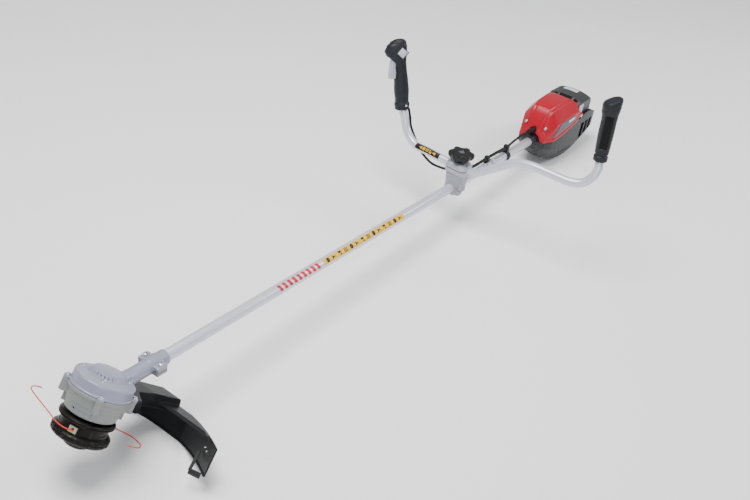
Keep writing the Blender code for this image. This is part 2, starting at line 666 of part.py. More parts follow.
def make_right_grip(swivel):
    frame = facing(RIGHT_AXIS, TRIGGER_TURN)
    at = {"location": RIGHT_GRIP, "rotation": frame}
    stations = [(-8, 16.5, 16.5, 15.5), (-6, 19, 19, 17.5), (10, 19.5, 19.5, 18), (16, 18, 18, 17),
                (45, 20, 19.5, 18), (72, 19, 18, 17.5), (98, 16, 15, 16), (116, 16, 14, 16),
                (126, 27, 14.5, 17), (134, 38, 16, 18.5), (146, 43, 17, 19.5),
                (160, 38, 17.5, 19), (171, 27, 16, 16), (178, 12, 10, 9)]
    grip = loft("right_grip", grip_rings(stations), "black_plastic", swivel, **at)
    cut(grip, rod("grip_bore", BAR_R + GAP, (0, 0, -14), (0, 0, 69), "black_plastic", swivel,
                  sides=24, **at))
    cut(grip, tube("grip_mouth", bar_route()[2:15], BAR_R + 0.8, "black_plastic", swivel))
    cut(grip, box("trigger_slot", (-3, -7.2, 71.5), (60, 7.2, 136), "black_plastic", swivel, **at))
    cut(grip, box("lock_slot", (-10.4, 0, -10.4), (10.4, 16, 10.4), "black_plastic", swivel,
                  location=RIGHT_GRIP + frame @ Vector((LOCK_BACK, 8.6, LOCK_HEIGHT)),
                  rotation=frame @ tip(math.radians(45))))
    cut(grip, rod("cable_way", CABLE_R + 0.5, (-30.9, -189, 110), (-32.4, -204, 142),
                  "black_plastic", swivel, sides=12))
    return grip


def make_trigger(trigger):
    """The trigger in its own frame: origin on the pivot, X forward, Z up the grip."""
    outline = [(-6, 3), (4, 5), (9, 2), (15, -12), (21, -49), (19, -52.5), (1, -53.5), (0, -49),
               (2, -22), (-6, -5)]
    rings = [[(x, y, z) for x, z in outline] for y in (-6.5, 6.5)]
    return loft("throttle_trigger", rings, "light_plastic", trigger, smooth=0)


def make_lock_button(lock):
    """A square button set cornerwise in the grip's flank, pressed inwards along -Y."""
    button = box("lock_off_button", (-10, -4, -10), (10, 5, 10), "light_plastic", lock,
                 rotation=tip(math.radians(45)))
    return bevel(button, 1.5)


# ---------------------------------------------------------------- rear unit

LOWER = [  # x, half width, top edge, side break, half floor, floor
    (-398, 25, 5, -6, 14, -20), (-412, 43, 5, -13, 24, -33), (-440, 54, 4, -22, 34, -54),
    (-490, 60, 18, -31, 42, -70), (-545, 62, 32, -36, 46, -76), (-592, 62, 46, -34, 46, -73),
    (-640, 61, 52, -28, 44, -65), (-692, 57, 34, -14, 40, -43), (-712, 50, 26, -4, 32, -26)]
UPPER = [  # x, half width, lower edge, shoulder, half roof, roof
    (-406, 40, 5, 16, 26, 27), (-428, 49, 5, 39, 29, 71), (-445, 55, 6, 58, 32, 92),
    (-490, 60, 18, 68, 36, 99), (-545, 62, 32, 72, 40, 98), (-568, 62, 39, 68, 44, 92)]


def lower_rings(inset, raised=0.0):
    rings = []
    for index, (x, w, top, side, wf, floor) in enumerate(LOWER):
        end = 1 if index == 0 else -1 if index == len(LOWER) - 1 else 0
        x, w, wf, floor = x - end * inset, w - inset, wf - inset * 0.6, floor + inset
        rim = top + raised if x > BATTERY_X[0] else top - inset
        rings.append([(x, -w, rim), (x, -w, side), (x, -wf, floor), (x, wf, floor),
                      (x, w, side), (x, w, rim)])
    return rings


def upper_rings(inset, lowered=0.0):
    rings = []
    for index, (x, w, low, shoulder, wr, roof) in enumerate(UPPER):
        end = 1 if index == 0 else -1 if index == len(UPPER) - 1 else 0
        x, w, wr = x - end * inset, w - inset, wr - inset * 0.6
        shoulder, roof = shoulder - inset * 0.6, roof - inset
        rings.append([(x, -w, low - lowered), (x, w, low - lowered), (x, w, shoulder),
                      (x, wr, roof), (x, -wr, roof), (x, -w, shoulder)])
    return rings


def make_rear_housing(tool):
    housing = loft("rear_housing", lower_rings(0.0), "charcoal_plastic", tool)
    collar = rod("collar", 27, (-440, 0, 0), (-392, 0, 0), "charcoal_plastic", tool, sides=28,
                 end_radius=19)
    hollow = loft("housing_hollow", lower_rings(3.0, raised=30), "charcoal_plastic", tool)
    cut(housing, hollow)
    join(housing, collar)
    bore = rod("tube_socket", TUBE_R + GAP, (-436, 0, 0), (-380, 0, 0), "charcoal_plastic",
               tool, sides=32)
    lead_way = rod("lead_hole", 6, (-450, 0, 0), (-425, 0, 0), "charcoal_plastic", tool,
                   sides=16)
    cut(housing, bore, lead_way)
    for i in range(6):
        x = -560 - 11 * i
        for side in (-1, 1):
            cut(housing, box("vent", (x - 3, side * 54 - 12, -12 + 3 * i),
                             (x + 3, side * 54 + 12, 8 + 3 * i), "charcoal_plastic", tool))
    cut(housing, box("rear_port", (-722, -24, -6), (-700, 24, 14), "charcoal_plastic", tool))
    return housing


def make_red_cover(tool):
    cover = loft("red_cover", upper_rings(0.0, lowered=-GAP), "red_plastic", tool)
    cut(cover, loft("cover_hollow", upper_rings(3.0, lowered=30), "red_plastic", tool))
    for side in (-1, 1):
        low, high = sorted((side * 56, side * 62))
        join(cover, box("cover_ear", (-590, low, 47.5), (-560, high, 58), "red_plastic", tool))
    cut(cover, rod("collar_room", 28, (-445, 0, 0), (-385, 0, 0), "red_plastic", tool, sides=28),
        rod("cable_room", 6.5, (-385, 0, 37), (-440, 0, 37), "red_plastic", tool, sides=16))
    spots = {"front_left": (-417, 32, 46), "front_right": (-417, -32, 46)}
    for name, (x, y, z) in spots.items():
        lean = tip(math.radians(62))
        cut(cover, rod("screw_hole", 2.6, (0, 0, -12), (0, 0, 12), "red_plastic", tool,
                       sides=12, location=(x, y, z), rotation=lean))
        turned("cover_screw_" + name, screw_profile(4.2, 3, 2.1, 12, 3.2), "bright_steel", tool,
               steps=16, closed=False, location=(x, y, z), rotation=lean)
    cut(cover, rod("screw_hole", 2.6, (-579, 50, 53), (-579, 70, 53), "red_plastic", tool,
                   sides=12))
    turned("cover_screw_rear", screw_profile(4.2, 3, 2.1, 7, 0), "bright_steel", tool, steps=16,
           closed=False, location=(-579, 62, 53), rotation=Matrix.Rotation(-math.pi / 2, 3, "X"))
    return cover


def make_side_panels(tool):
    outline = [(-434, 18), (-466, 60), (-538, 66), (-548, 48), (-484, 38)]
    for name, side in (("left", 1), ("right", -1)):
        y0, y1 = sorted((side * 40, side * 70))
        rings = [[(x, y, z) for x, z in outline] for y in (y0, y1)]
        panel = loft("side_panel_" + name, rings, "grey_plastic", tool, smooth=0)
        skin = loft("panel_skin", upper_rings(-1.6), "grey_plastic", tool)
        boolean(panel, skin, "INTERSECT")
        cut(panel, loft("panel_back", upper_rings(-GAP), "grey_plastic", tool))


def make_battery(battery):
    """The pack in its own frame: origin at the middle of the bay's mouth."""
    half = (BATTERY_X[1] - BATTERY_X[0]) / 2
    top = BATTERY_TOP - 50
    pack = box("battery", (-half, -53, -72), (half, 53, top), "black_plastic", battery)
    bevel(pack, 6, 3)
    cut(pack, box("latch_recess", (half - 12, -20, top - 22), (half + 5, 20, top + 5),
                  "black_plastic", battery))
    box("battery_latch", (half - 11.5, -19.5, top - 21), (half - 2, 19.5, top - 9),
        "black_plastic", battery)


def make_electronics(tool):
    box("controller_board", (-558, -38, -30), (-452, 38, -26), "green_board", tool)
    block = box("terminal_block", (-640, -30, -40), (-590, 30, -24), "grey_plastic", tool)
    bevel(block, 2)


def make_rear_foot(tool, tilt):
    """A rubber pad whose sole lies on the floor when the tool is laid down."""
    foot = box("rear_foot", (-22, -34, 0), (22, 34, 5.5), "black_rubber", tool,
               location=(FOOT_X, 0, FOOT_Z), rotation=tip(-tilt))
    return foot


# ---------------------------------------------------------------- whole tool

def head_point(ahead, across, up):
    """A point of the head frame, in the tool frame."""
    return tip(HEAD_TIP) @ Vector((ahead, across, up)) + Vector((HEAD_X, 0, 0))


def lie_tilt():
    """The turn about Y that puts the guard's rear edge and the foot's sole on one level."""
    edge = head_point(-GUARD_BACK, 0, GUARD_LOW)
    return -math.atan2(FOOT_Z - edge.z, edge.x - FOOT_X)


def set_down(tool, tilt):
    """Tip the tool, and move it so that its box stands on the origin by its bottom centre."""
    tool.rotation_euler = tip(tilt).to_euler()
    bpy.context.view_layer.update()
    graph = bpy.context.evaluated_depsgraph_get()
    corners = []
    for obj in PARTS.objects:
        if obj.type != "MESH":
            continue
        mesh = obj.evaluated_get(graph).to_mesh()
        corners += [obj.matrix_world @ v.co for v in mesh.vertices]
    low = Vector([min(c[i] for c in corners) for i in range(3)])
    high = Vector([max(c[i] for c in corners) for i in range(3)])
    tool.location = (-(low.x + high.x) / 2, -(low.y + high.y) / 2, -low.z)
    bpy.context.view_layer.update()


def main():
    tilt = lie_tilt()
    tool = empty("tool_frame")
    head = empty("head_frame", tool, (HEAD_X, 0, 0), tip(HEAD_TIP))
    swivel = empty("swivel_frame", tool)
    knob = empty("knob_frame", swivel, (0, 0, KNOB_Z))
    right = facing(RIGHT_AXIS, TRIGGER_TURN)
    trigger = empty("trigger_frame", swivel, RIGHT_GRIP + right @ Vector((14, 0, 129)), right)
    lock = empty("lock_frame", swivel, RIGHT_GRIP + right @ Vector((LOCK_BACK, 16, LOCK_HEIGHT)), right)
    bay_x = sum(BATTERY_X) / 2
    battery = empty("battery_frame", tool, (bay_x, 0, 50))

    make_motor_cover(head, tool)
    make_neck_clamp(tool)
    make_motor_housing(head, tool)
    make_motor(head)
    make_line_head(head)
    make_cutting_lines(head)
    make_guard(head)
    make_line_cutter(head)
    make_shaft(tool)
    make_harness_hanger(tool)
    make_cables(tool, swivel)
    make_cable_band(tool)
    make_cable_clip(tool)
    make_clamp(tool, swivel)
    make_knob(knob)
    make_handlebar(swivel)
    make_left_grip(swivel)
    make_right_grip(swivel)
    make_trigger(trigger)
    make_lock_button(lock)
    make_rear_housing(tool)
    make_red_cover(tool)
    make_side_panels(tool)
    make_battery(battery)
    make_electronics(tool)
    make_rear_foot(tool, tilt)
    set_down(tool, tilt)


clear_scene()
PARTS = new_collection("brush_mower")
CUTTERS = new_collection("cutters")
MATS = make_materials()
main()
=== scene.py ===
"""Looks of a battery brush cutter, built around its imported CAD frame.

Three local frames are used, in millimetres. TOOL: the shaft runs along X towards the cutting head,
+Y is the user's left, +Z is up, with the origin on the shaft axis under the handle clamp. HEAD: Z
is the spindle, -X points back along the tool. BAY: the battery's slide, Z up out of the bay.
"""
import json
from math import copysign, cos, pi, radians, sin, sqrt

import bmesh
import bpy
from mathutils import Matrix, Vector


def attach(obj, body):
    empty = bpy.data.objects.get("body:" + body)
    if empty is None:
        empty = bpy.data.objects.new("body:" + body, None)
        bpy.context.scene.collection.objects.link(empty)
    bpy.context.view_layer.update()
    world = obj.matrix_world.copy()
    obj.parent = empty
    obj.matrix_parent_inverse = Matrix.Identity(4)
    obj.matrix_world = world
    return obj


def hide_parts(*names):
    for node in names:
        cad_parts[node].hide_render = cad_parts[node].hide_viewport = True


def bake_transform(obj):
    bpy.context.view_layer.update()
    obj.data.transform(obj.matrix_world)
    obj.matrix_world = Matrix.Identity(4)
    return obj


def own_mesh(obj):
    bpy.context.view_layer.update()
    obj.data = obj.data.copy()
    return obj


MM = 0.001
TAU = 2 * pi

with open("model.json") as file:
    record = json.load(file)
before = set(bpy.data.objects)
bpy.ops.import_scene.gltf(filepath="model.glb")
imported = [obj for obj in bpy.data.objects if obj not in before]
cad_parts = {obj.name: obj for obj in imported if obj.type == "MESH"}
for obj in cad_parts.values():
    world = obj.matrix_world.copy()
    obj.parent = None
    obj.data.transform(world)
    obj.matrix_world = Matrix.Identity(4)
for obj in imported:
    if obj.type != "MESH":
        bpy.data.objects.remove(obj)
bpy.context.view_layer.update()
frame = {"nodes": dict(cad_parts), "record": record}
JOINTS = {joint["name"]: joint for joint in frame["record"]["behaviour"]["joints"]}

# Driving dimensions of the tool, in its own frame
TUBE_R = 12.5
TUBE_BORE = TUBE_R + 0.2
TUBE_REAR, TUBE_FRONT = -430.0, 1106.0
NECK_BACK = 1016.0
EAR_X, EAR_Y = 1047.0, 20.5
BAR_R = 11.0
BAR_BORE = BAR_R + 0.2
BAR_Z = 55.0
KNOB_Z = 71.5
RIGHT_GRIP = Vector((-20.0, -214.0, 136.0))
RIGHT_AXIS = Vector((-0.084, -0.279, 0.958)).normalized()
LEFT_GRIP = Vector((-61.0, 338.4, 201.7))
LEFT_AXIS = Vector((-0.073, -0.086, 0.994)).normalized()
TRIGGER_TURN = radians(-40)
LOCK_BACK = -1.0
LUG_R = 62.0
LUG_ANGLES = (-45, 45, 135, -135)
COVER_LOW = 15.0
LINE_HEIGHT = -56.0
EYELET_ANGLES = {"front": 20, "rear": 200}
GUARD_BACK = 197.0
GUARD_DEPTH = 58.0
BATTERY_X = (-655.0, -574.0)
BATTERY_TOP = 97.0
SIDES = ((1, "left"), (-1, "right"))


# ---- frames

def frame_matrix(origin, x, y, z):
    """A 4x4 from metres and unit axes that also turns millimetres into metres."""
    turn = Matrix((x, y, z)).transposed().to_4x4()
    return Matrix.Translation(origin) @ turn @ Matrix.Scale(MM, 4)


def joint_frame(joint, offset=0.0):
    """A frame on a joint's place, with Z on its axis and Y across the tool."""
    z = Vector(JOINTS[joint]["axis"])
    y = Vector((0, 1, 0))
    return frame_matrix(Vector(JOINTS[joint]["pos_m"]) - z * offset * MM, y.cross(z), y, z)


TOOL = joint_frame("handlebar_swivel", KNOB_Z)
HEAD = joint_frame("line_head_spin")


def facing(axis, turn):
    """Unit axes with Z along an axis and X turned from the tool's X, as a 3x3."""
    ahead = Vector((cos(turn), sin(turn), 0))
    y = axis.cross(ahead).normalized()
    return Matrix((y.cross(axis), y, axis)).transposed()


def local(origin, turn):
    """A frame inside TOOL."""
    return TOOL @ Matrix.Translation(origin) @ turn.to_4x4()


RIGHT = local(RIGHT_GRIP, facing(RIGHT_AXIS, TRIGGER_TURN))
LEFT = local(LEFT_GRIP, facing(LEFT_AXIS, TRIGGER_TURN))
BAY = TOOL @ Matrix.Translation((sum(BATTERY_X) / 2, 0, 50))


# ---- materials

def node_of(tree, kind, sockets=(), **values):
    """A new node, with its sockets' values and then its own."""
    node = tree.nodes.new(kind)
    for key, value in dict(sockets).items():
        node.inputs[key].default_value = value
    for key, value in values.items():
        setattr(node, key, value)
    return node


def noise(tree, coords, scale, detail=3.0, rough=0.55, stretch=None):
    made = node_of(tree, "ShaderNodeTexNoise",
                   {"Scale": scale, "Detail": detail, "Roughness": rough})
    if stretch:
        mapping = node_of(tree, "ShaderNodeMapping", {"Scale": stretch})
        tree.links.new(coords, mapping.inputs["Vector"])
        coords = mapping.outputs["Vector"]
    tree.links.new(coords, made.inputs["Vector"])
    return made.outputs["Fac"]


def ramp(tree, fac, stops):
    made = tree.nodes.new("ShaderNodeValToRGB")
    elements = made.color_ramp.elements
    for index, (at, colour) in enumerate(stops):
        element = elements[index] if index < 2 else elements.new(at)
        element.position = at
        element.color = (*colour, 1.0)
    tree.links.new(fac, made.inputs["Fac"])
    return made.outputs["Color"]


def shade(colour, k):
    return tuple(min(1.0, c * k) for c in colour)


def finish_of(name, colour, rough=0.5, metallic=0.0, grain=900.0, bump=0.15, depth=0.0002,
              vary=0.12, patch=14.0, tint=None, coat=0.0, spread=0.08, stretch=None, wear=None,
              shine=0.5):
    """A moulded, painted or machined surface: tone patches, fine grain, uneven gloss and edge wear."""
    mat = bpy.data.materials.new(name)
    mat.use_nodes = True
    tree = mat.node_tree
    shader = tree.nodes["Principled BSDF"]
    coords = tree.nodes.new("ShaderNodeTexCoord").outputs["Object"]
    large = noise(tree, coords, patch, 4.0)
    other = tint or shade(colour, 1 + vary)
    tone = ramp(tree, large, [(0.3, shade(colour, 1 - vary)), (0.7, other)])
    if wear:
        edge = tree.nodes.new("ShaderNodeNewGeometry").outputs["Pointiness"]
        mask = node_of(tree, "ShaderNodeMapRange", {"From Min": 0.52, "From Max": 0.60})
        tree.links.new(edge, mask.inputs["Value"])
        mix = node_of(tree, "ShaderNodeMix", {7: (*wear, 1.0)}, data_type="RGBA")
        tree.links.new(mask.outputs["Result"], mix.inputs[0])
        tree.links.new(tone, mix.inputs[6])
        tone = mix.outputs[2]
    tree.links.new(tone, shader.inputs["Base Color"])
    fine = noise(tree, coords, grain, 2.0, 0.6, stretch)
    gloss = node_of(tree, "ShaderNodeMapRange", {"To Min": max(0.03, rough - spread),
        "To Max": min(1.0, rough + spread)})
    tree.links.new(noise(tree, coords, patch * 5, 3.0), gloss.inputs["Value"])
    tree.links.new(gloss.outputs["Result"], shader.inputs["Roughness"])
    relief = node_of(tree, "ShaderNodeBump", {"Strength": bump, "Distance": depth})
    tree.links.new(fine, relief.inputs["Height"])
    tree.links.new(relief.outputs["Normal"], shader.inputs["Normal"])
    for key, value in {"Metallic": metallic, "Specular IOR Level": shine, "Coat Weight": coat,
                       "Coat Roughness": 0.12}.items():
        shader.inputs[key].default_value = value
    return mat


FINISHES = {  # name: slot, colour, roughness, metallic, grain, bump (and its depth), the rest
    "tube_paint": ("silver_paint", (0.60, 0.60, 0.69), 0.30, 0.30, 2600, 0.05,
        dict(vary=0.03, patch=6, coat=0.25, spread=0.04)),
    "cover_paint": ("silver_paint", (0.27, 0.28, 0.36), 0.42, 0.2, 1500, 0.22,
        dict(vary=0.07, coat=0.1, wear=(0.46, 0.47, 0.55), shine=0.4)),
    "cast_metal": ("cast_aluminium", (0.235, 0.245, 0.255), 0.5, 0.2, 1100, 0.4, 0.0003,
        dict(vary=0.12, tint=(0.225, 0.245, 0.225), wear=(0.50, 0.52, 0.53))),
    "clamp_metal": ("silver_paint", (0.37, 0.38, 0.45), 0.42, 0.25, 1200, 0.3, 0.0003,
        dict(vary=0.08, wear=(0.58, 0.59, 0.65))),
    "clamp_base_metal": ("cast_aluminium", (0.29, 0.305, 0.33), 0.46, 0.2, 1200, 0.35, 0.0003,
        dict(vary=0.09, wear=(0.52, 0.54, 0.57))),
    "black_plastic": ("black_plastic", (0.008, 0.009, 0.010), 0.42, 0, 1800, 0.25,
        dict(vary=0.25, wear=(0.035, 0.036, 0.040), shine=0.28)),
    "guard_plastic": ("black_plastic", (0.006, 0.0065, 0.007), 0.38, 0, 700, 0.5, 0.0004,
        dict(vary=0.3, patch=30, wear=(0.032, 0.033, 0.036), shine=0.16)),
    "head_plastic": ("black_plastic", (0.006, 0.006, 0.006), 0.34, 0, 900, 0.3,
        dict(tint=(0.012, 0.011, 0.007), vary=0.2, patch=60, wear=(0.032, 0.030, 0.022), shine=0.14)),
    "cable_rubber": ("black_rubber", (0.006, 0.006, 0.007), 0.55, 0, 1500, 0.4, dict(shine=0.25)),
    "grip_rubber": ("black_rubber", (0.010, 0.012, 0.015), 0.48, 0, 2400, 0.4, 0.0003,
        dict(vary=0.2, wear=(0.035, 0.040, 0.048), shine=0.28)),
    "panel_rubber": ("black_rubber", (0.004, 0.0045, 0.0045), 0.7, 0, 1500, 0.6, 0.0005,
        dict(vary=0.2, tint=(0.008, 0.009, 0.006), shine=0.15)),
    "charcoal": ("charcoal_plastic", (0.022, 0.023, 0.029), 0.46, 0, 1500, 0.35,
        dict(vary=0.15, tint=(0.027, 0.027, 0.027), wear=(0.06, 0.064, 0.075), shine=0.3)),
    "battery_plastic": ("black_plastic", (0.030, 0.032, 0.033), 0.42, 0, 1500, 0.3,
        dict(vary=0.15, wear=(0.08, 0.082, 0.085), shine=0.35)),
    "red_plastic": ("red_plastic", (0.36, 0.003, 0.015), 0.34, 0, 2200, 0.06,
        dict(vary=0.08, patch=8, coat=0.08, spread=0.05, wear=(0.50, 0.02, 0.04), shine=0.28)),
    "light_plastic": ("light_plastic", (0.40, 0.41, 0.49), 0.42, 0, 1800, 0.15,
        dict(vary=0.05, wear=(0.56, 0.56, 0.64))),
    "grey_plastic": ("grey_plastic", (0.085, 0.095, 0.12), 0.46, 0, 1800, 0.25, dict(shine=0.35)),
    "pale_print": ("grey_plastic", (0.55, 0.60, 0.66), 0.3, 0, 2500, 0.03, dict(vary=0.04)),
    "bright_steel": ("bright_steel", (0.70, 0.70, 0.72), 0.26, 1.0, 1800, 0.2,
        dict(vary=0.08, stretch=(1, 1, 8))),
    "dark_steel": ("bright_steel", (0.25, 0.26, 0.25), 0.35, 0.9, 1200, 0.3, dict(vary=0.2)),
    "cream_ceramic": ("cream_ceramic", (0.44, 0.42, 0.30), 0.35, 0, 1200, 0.1,
        dict(vary=0.12, tint=(0.34, 0.35, 0.24))),
    "red_nylon": ("red_nylon", (0.58, 0.030, 0.006), 0.38, 0, 2500, 0.1, dict(vary=0.1)),
    "red_print": ("red_plastic", (0.50, 0.010, 0.025), 0.35, 0, 2500, 0.05,
        dict(vary=0.06, shine=0.3)),
    "yellow_print": ("silver_paint", (0.72, 0.42, 0.010), 0.35, 0, 2500, 0.05,
        dict(vary=0.05, shine=0.3)),
    "black_print": ("black_plastic", (0.006, 0.006, 0.006), 0.4, 0, 2500, 0.05, dict(shine=0.3)),
    "copper": ("copper", (0.62, 0.26, 0.12), 0.35, 1.0, 900, 0.6, dict(stretch=(1, 1, 6))),
    "green_board": ("green_board", (0.02, 0.16, 0.06), 0.35, 0, 500, 0.3, dict()),
}
M = {name: finish_of(name, *values, **rest) for name, (_, *values, rest) in FINISHES.items()}


# ---- mesh helpers

def as_piece(name, mesh, where, material, nodes, body, smooth):
    """Put a mesh in the world as a piece of the object. The mesh is in where's millimetres."""
    mesh.name = name
    mesh.transform(where)
    mesh.materials.clear()
    mesh.materials.append(M[material])
    mesh.shade_smooth()
    if smooth < 180:
        mesh.set_sharp_from_angle(angle=radians(smooth))
    obj = linked(name, mesh)
    if body:
        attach(obj, body)
    if nodes:
        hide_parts(*nodes)
    return obj


def linked(name, mesh):
    obj = bpy.data.objects.new(name, mesh)
    bpy.context.scene.collection.objects.link(obj)
    return obj


def as_mesh(bm, name="scratch"):
    bmesh.ops.recalc_face_normals(bm, faces=bm.faces)
    mesh = bpy.data.meshes.new(name)
    bm.to_mesh(mesh)
    bm.free()
    return mesh


def finished(name, bm, where, material, nodes=(), body="main_frame", smooth=40):
    return as_piece(name, as_mesh(bm, name), where, material, nodes, body, smooth)


def apply_modifiers(obj):
    graph = bpy.context.evaluated_depsgraph_get()
    mesh = bpy.data.meshes.new_from_object(obj.evaluated_get(graph))
    old = obj.data
    obj.modifiers.clear()
    obj.data = mesh
    bpy.data.meshes.remove(old)


def carved(name, solids, where, material, nodes=(), body="main_frame", cuts=(), smooth=35,
           slot=None, voxel=None, rounds=5, late_cuts=()):
    """Closed solids with pieces cut away. With a voxel size, a skin then grows over them.

    cuts are taken out before the skin's edges are softened, late_cuts after, so that they stay
    crisp.
    """
    obj = linked("scratch", as_mesh(merged(solids)))
    for cutter in cuts:
        subtract(obj, cutter)
    if voxel:
        remesh = obj.modifiers.new("skin", "REMESH")
        remesh.mode = "VOXEL"
        remesh.voxel_size = voxel
        soften = obj.modifiers.new("soften", "SMOOTH")
        soften.factor = 0.5
        soften.iterations = rounds
        apply_modifiers(obj)
    for cutter in late_cuts:
        subtract(obj, cutter, "MANIFOLD")
    mesh = obj.data
    bpy.data.objects.remove(obj, do_unlink=True)
    return as_piece(name, mesh, where, material, nodes, body, smooth)


def cast(*args, voxel=0.7, rounds=5, **rest):
    """A cast or moulded body: its solids grown together, with soft fillets."""
    return carved(*args, voxel=voxel, rounds=rounds, smooth=180, **rest)


def subtract(obj, cutter, solver="EXACT"):
    other = linked("scratch", as_mesh(cutter))
    mod = obj.modifiers.new("cut", "BOOLEAN")
    mod.object = other
    mod.operation = "DIFFERENCE"
    mod.solver = solver
    if solver == "EXACT":
        mod.use_self = True
    apply_modifiers(obj)
    bpy.data.objects.remove(other, do_unlink=True)


def merged(solids):
    """Several bmeshes as one."""
    bm = bmesh.new()
    for solid in solids:
        mesh = as_mesh(solid)
        bm.from_mesh(mesh)
        bpy.data.meshes.remove(mesh)
    return bm


def moved(bm, where):
    bmesh.ops.transform(bm, matrix=where, verts=bm.verts)
    return bm


def at(x, y, z, axis="Z", angle=0.0):
    return Matrix.Translation((x, y, z)) @ Matrix.Rotation(angle, 4, axis)


def spin(axis, degrees):
    return Matrix.Rotation(radians(degrees), 4, axis)


def aimed(direction, side="Y"):
    """A turn that points Z along a direction."""
    return Vector(direction).to_track_quat("Z", side).to_matrix().to_4x4()


def block(low, high, edge=0.0, segments=3):
    """A box between two corners, with rounded edges."""
    low, high = Vector(low), Vector(high)
    bm = bmesh.new()
    bmesh.ops.create_cube(bm, size=1.0)
    moved(bm, Matrix.Translation((low + high) / 2) @ Matrix.Diagonal((*(high - low), 1.0)))
    if edge:
        bmesh.ops.bevel(bm, geom=bm.edges[:], offset=edge, segments=segments, profile=0.5,
                        affect="EDGES")
    return bm


def pair(low, high, edge=0.0):
    """A block on the left and its mirror on the right, right first."""
    (x0, y0, z0), (x1, y1, z1) = low, high
    return [block((x0, -y1, z0), (x1, -y0, z1), edge), block(low, high, edge)]


def cylinder(radius, start, end, sides=48, end_radius=None):
    start, end = Vector(start), Vector(end)
    along = end - start
    bm = bmesh.new()
    bmesh.ops.create_cone(bm, cap_ends=True, segments=sides, radius1=radius, radius2=radius
                          if end_radius is None else end_radius, depth=along.length)
    return moved(bm, Matrix.Translation((start + end) / 2) @ aimed(along))


def along_x(radius, start, end, sides=64):
    return cylinder(radius, (start, 0, 0), (end, 0, 0), sides)


def upright(radius, x, y, low, high, sides=32):
    return cylinder(radius, (x, y, low), (x, y, high), sides)


def rounded(profile, radius, steps=3, ring=True):
    """A profile of (r, z) points with its corners replaced by arcs of about the given radius."""
    out = []
    count = len(profile)
    for i, point in enumerate(profile):
        here = Vector(point)
        if not ring and i in (0, count - 1):
            out.append(here)
            continue
        back, ahead = Vector(profile[i - 1]) - here, Vector(profile[(i + 1) % count]) - here
        reach = min(radius, back.length * 0.45, ahead.length * 0.45)
        first, last = here + back.normalized() * reach, here + ahead.normalized() * reach
        for k in range(steps + 1):
            t = k / steps
            out.append(first.lerp(here, t).lerp(here.lerp(last, t), t))
    return out


def lathe(profile, sides=96, edge=1.0, ring=True, wave=None):
    """A profile swept about Z. wave(angle, r, z) may give another radius."""
    outline = rounded(profile, edge, ring=ring) if edge else [Vector(p) for p in profile]
    bm = bmesh.new()
    rings = []
    for k in range(sides):
        angle = TAU * k / sides
        row = []
        for r, z in outline:
            reach = wave(angle, r, z) if wave else r
            row.append(bm.verts.new((reach * cos(angle), reach * sin(angle), z)))
        rings.append(row)
    count = len(outline)
    spans = range(count) if ring else range(count - 1)
    for k in range(sides):
        this, following = rings[k], rings[(k + 1) % sides]
        for i in spans:
            j = (i + 1) % count
            bm.faces.new((this[i], this[j], following[j], following[i]))
    bmesh.ops.remove_doubles(bm, verts=bm.verts, dist=0.0005)
    return bm


def loft(rings):
    """A skin over rings of points that all have the same count, with flat ends."""
    bm = bmesh.new()
    made = [[bm.verts.new(Vector(p)) for p in ring] for ring in rings]
    count = len(made[0])
    for first, second in zip(made, made[1:]):
        for i in range(count):
            j = (i + 1) % count
            bm.faces.new((first[i], first[j], second[j], second[i]))
    bm.faces.new(made[0])
    bm.faces.new(made[-1])
    return bm


def smooth_route(points, per_span=8):
    """Points on a Catmull-Rom curve through the given ones."""
    points = [Vector(p) for p in points]
    ends = [2 * points[0] - points[1], *points, 2 * points[-1] - points[-2]]
    route = []
    for a, b, c, d in zip(ends, ends[1:], ends[2:], ends[3:]):
        for i in range(per_span):
            t = i / per_span
            route.append(0.5 * (2 * b + (c - a) * t + (2 * a - 5 * b + 4 * c - d) * t ** 2
                                + (3 * b - a - 3 * c + d) * t ** 3))
    route.append(points[-1])
    return route


def route_frames(route):
    """A point, its side and its up vector for each step, without twist."""
    frames = []
    side = None
    for i, here in enumerate(route):
        before, after = route[max(i - 1, 0)], route[min(i + 1, len(route) - 1)]
        ahead = (after - before).normalized()
        if side is None:
            side = ahead.cross(Vector((1, 0, 0)) if abs(ahead.x) < 0.9 else Vector((0, 0, 1)))
        side = (side - ahead * side.dot(ahead)).normalized()
        frames.append((here, side, ahead.cross(side)))
    return frames


def tube(route, radius, sides=32):
    """A solid round tube along a route. radius is a number or a function of 0..1 along it."""
    rings = []
    last = len(route) - 1
    for i, (here, side, up) in enumerate(route_frames(route)):
        reach = radius(i / last) if callable(radius) else radius
        rings.append([here + side * a + up * b for a, b in circle(reach, sides)])
    return loft(rings)


def oval(front, back, side, count=32, power=2.4, shift=0.0):
    outline = []
    for i in range(count):
        angle = TAU * i / count
        c, s = cos(angle), sin(angle)
        reach = front if c > 0 else back
        outline.append((shift + copysign(abs(c) ** (2 / power), c) * reach,
                        copysign(abs(s) ** (2 / power), s) * side))
    return outline


def screw(name, where, radius, height, nodes=(), body="main_frame"):
    """A pan head with a six-lobed recess, standing on z = 0 of its own frame."""
    def lobed(angle, r, z):
        recess = r < radius * 0.62 and z > height * 0.3
        return r * (1 + 0.16 * cos(6 * angle)) if recess else r
    profile = [(radius, 0), (radius, height * 0.45), (radius * 0.86, height * 0.9),
               (radius * 0.56, height), (radius * 0.5, height * 0.4), (0, height * 0.4)]
    bm = lathe(profile, 36, 0.35, ring=False, wave=lobed)
    return finished(name, bm, where, "bright_steel", nodes, body, 30)


# ---- camera, floor and light

EYE = Vector((2055.94, 1072.67, 1252.32))
AIM = Vector((188.0, -93.0, -170.4))
CAMERA_ROLL = radians(9.53)
ALONG = spin("Y", 90)        # turns Z to X
IN_HEAD = HEAD.inverted() @ TOOL
FACING = Vector((0.78, 0.1, 0.62))                  # the side of the bar that its label is on


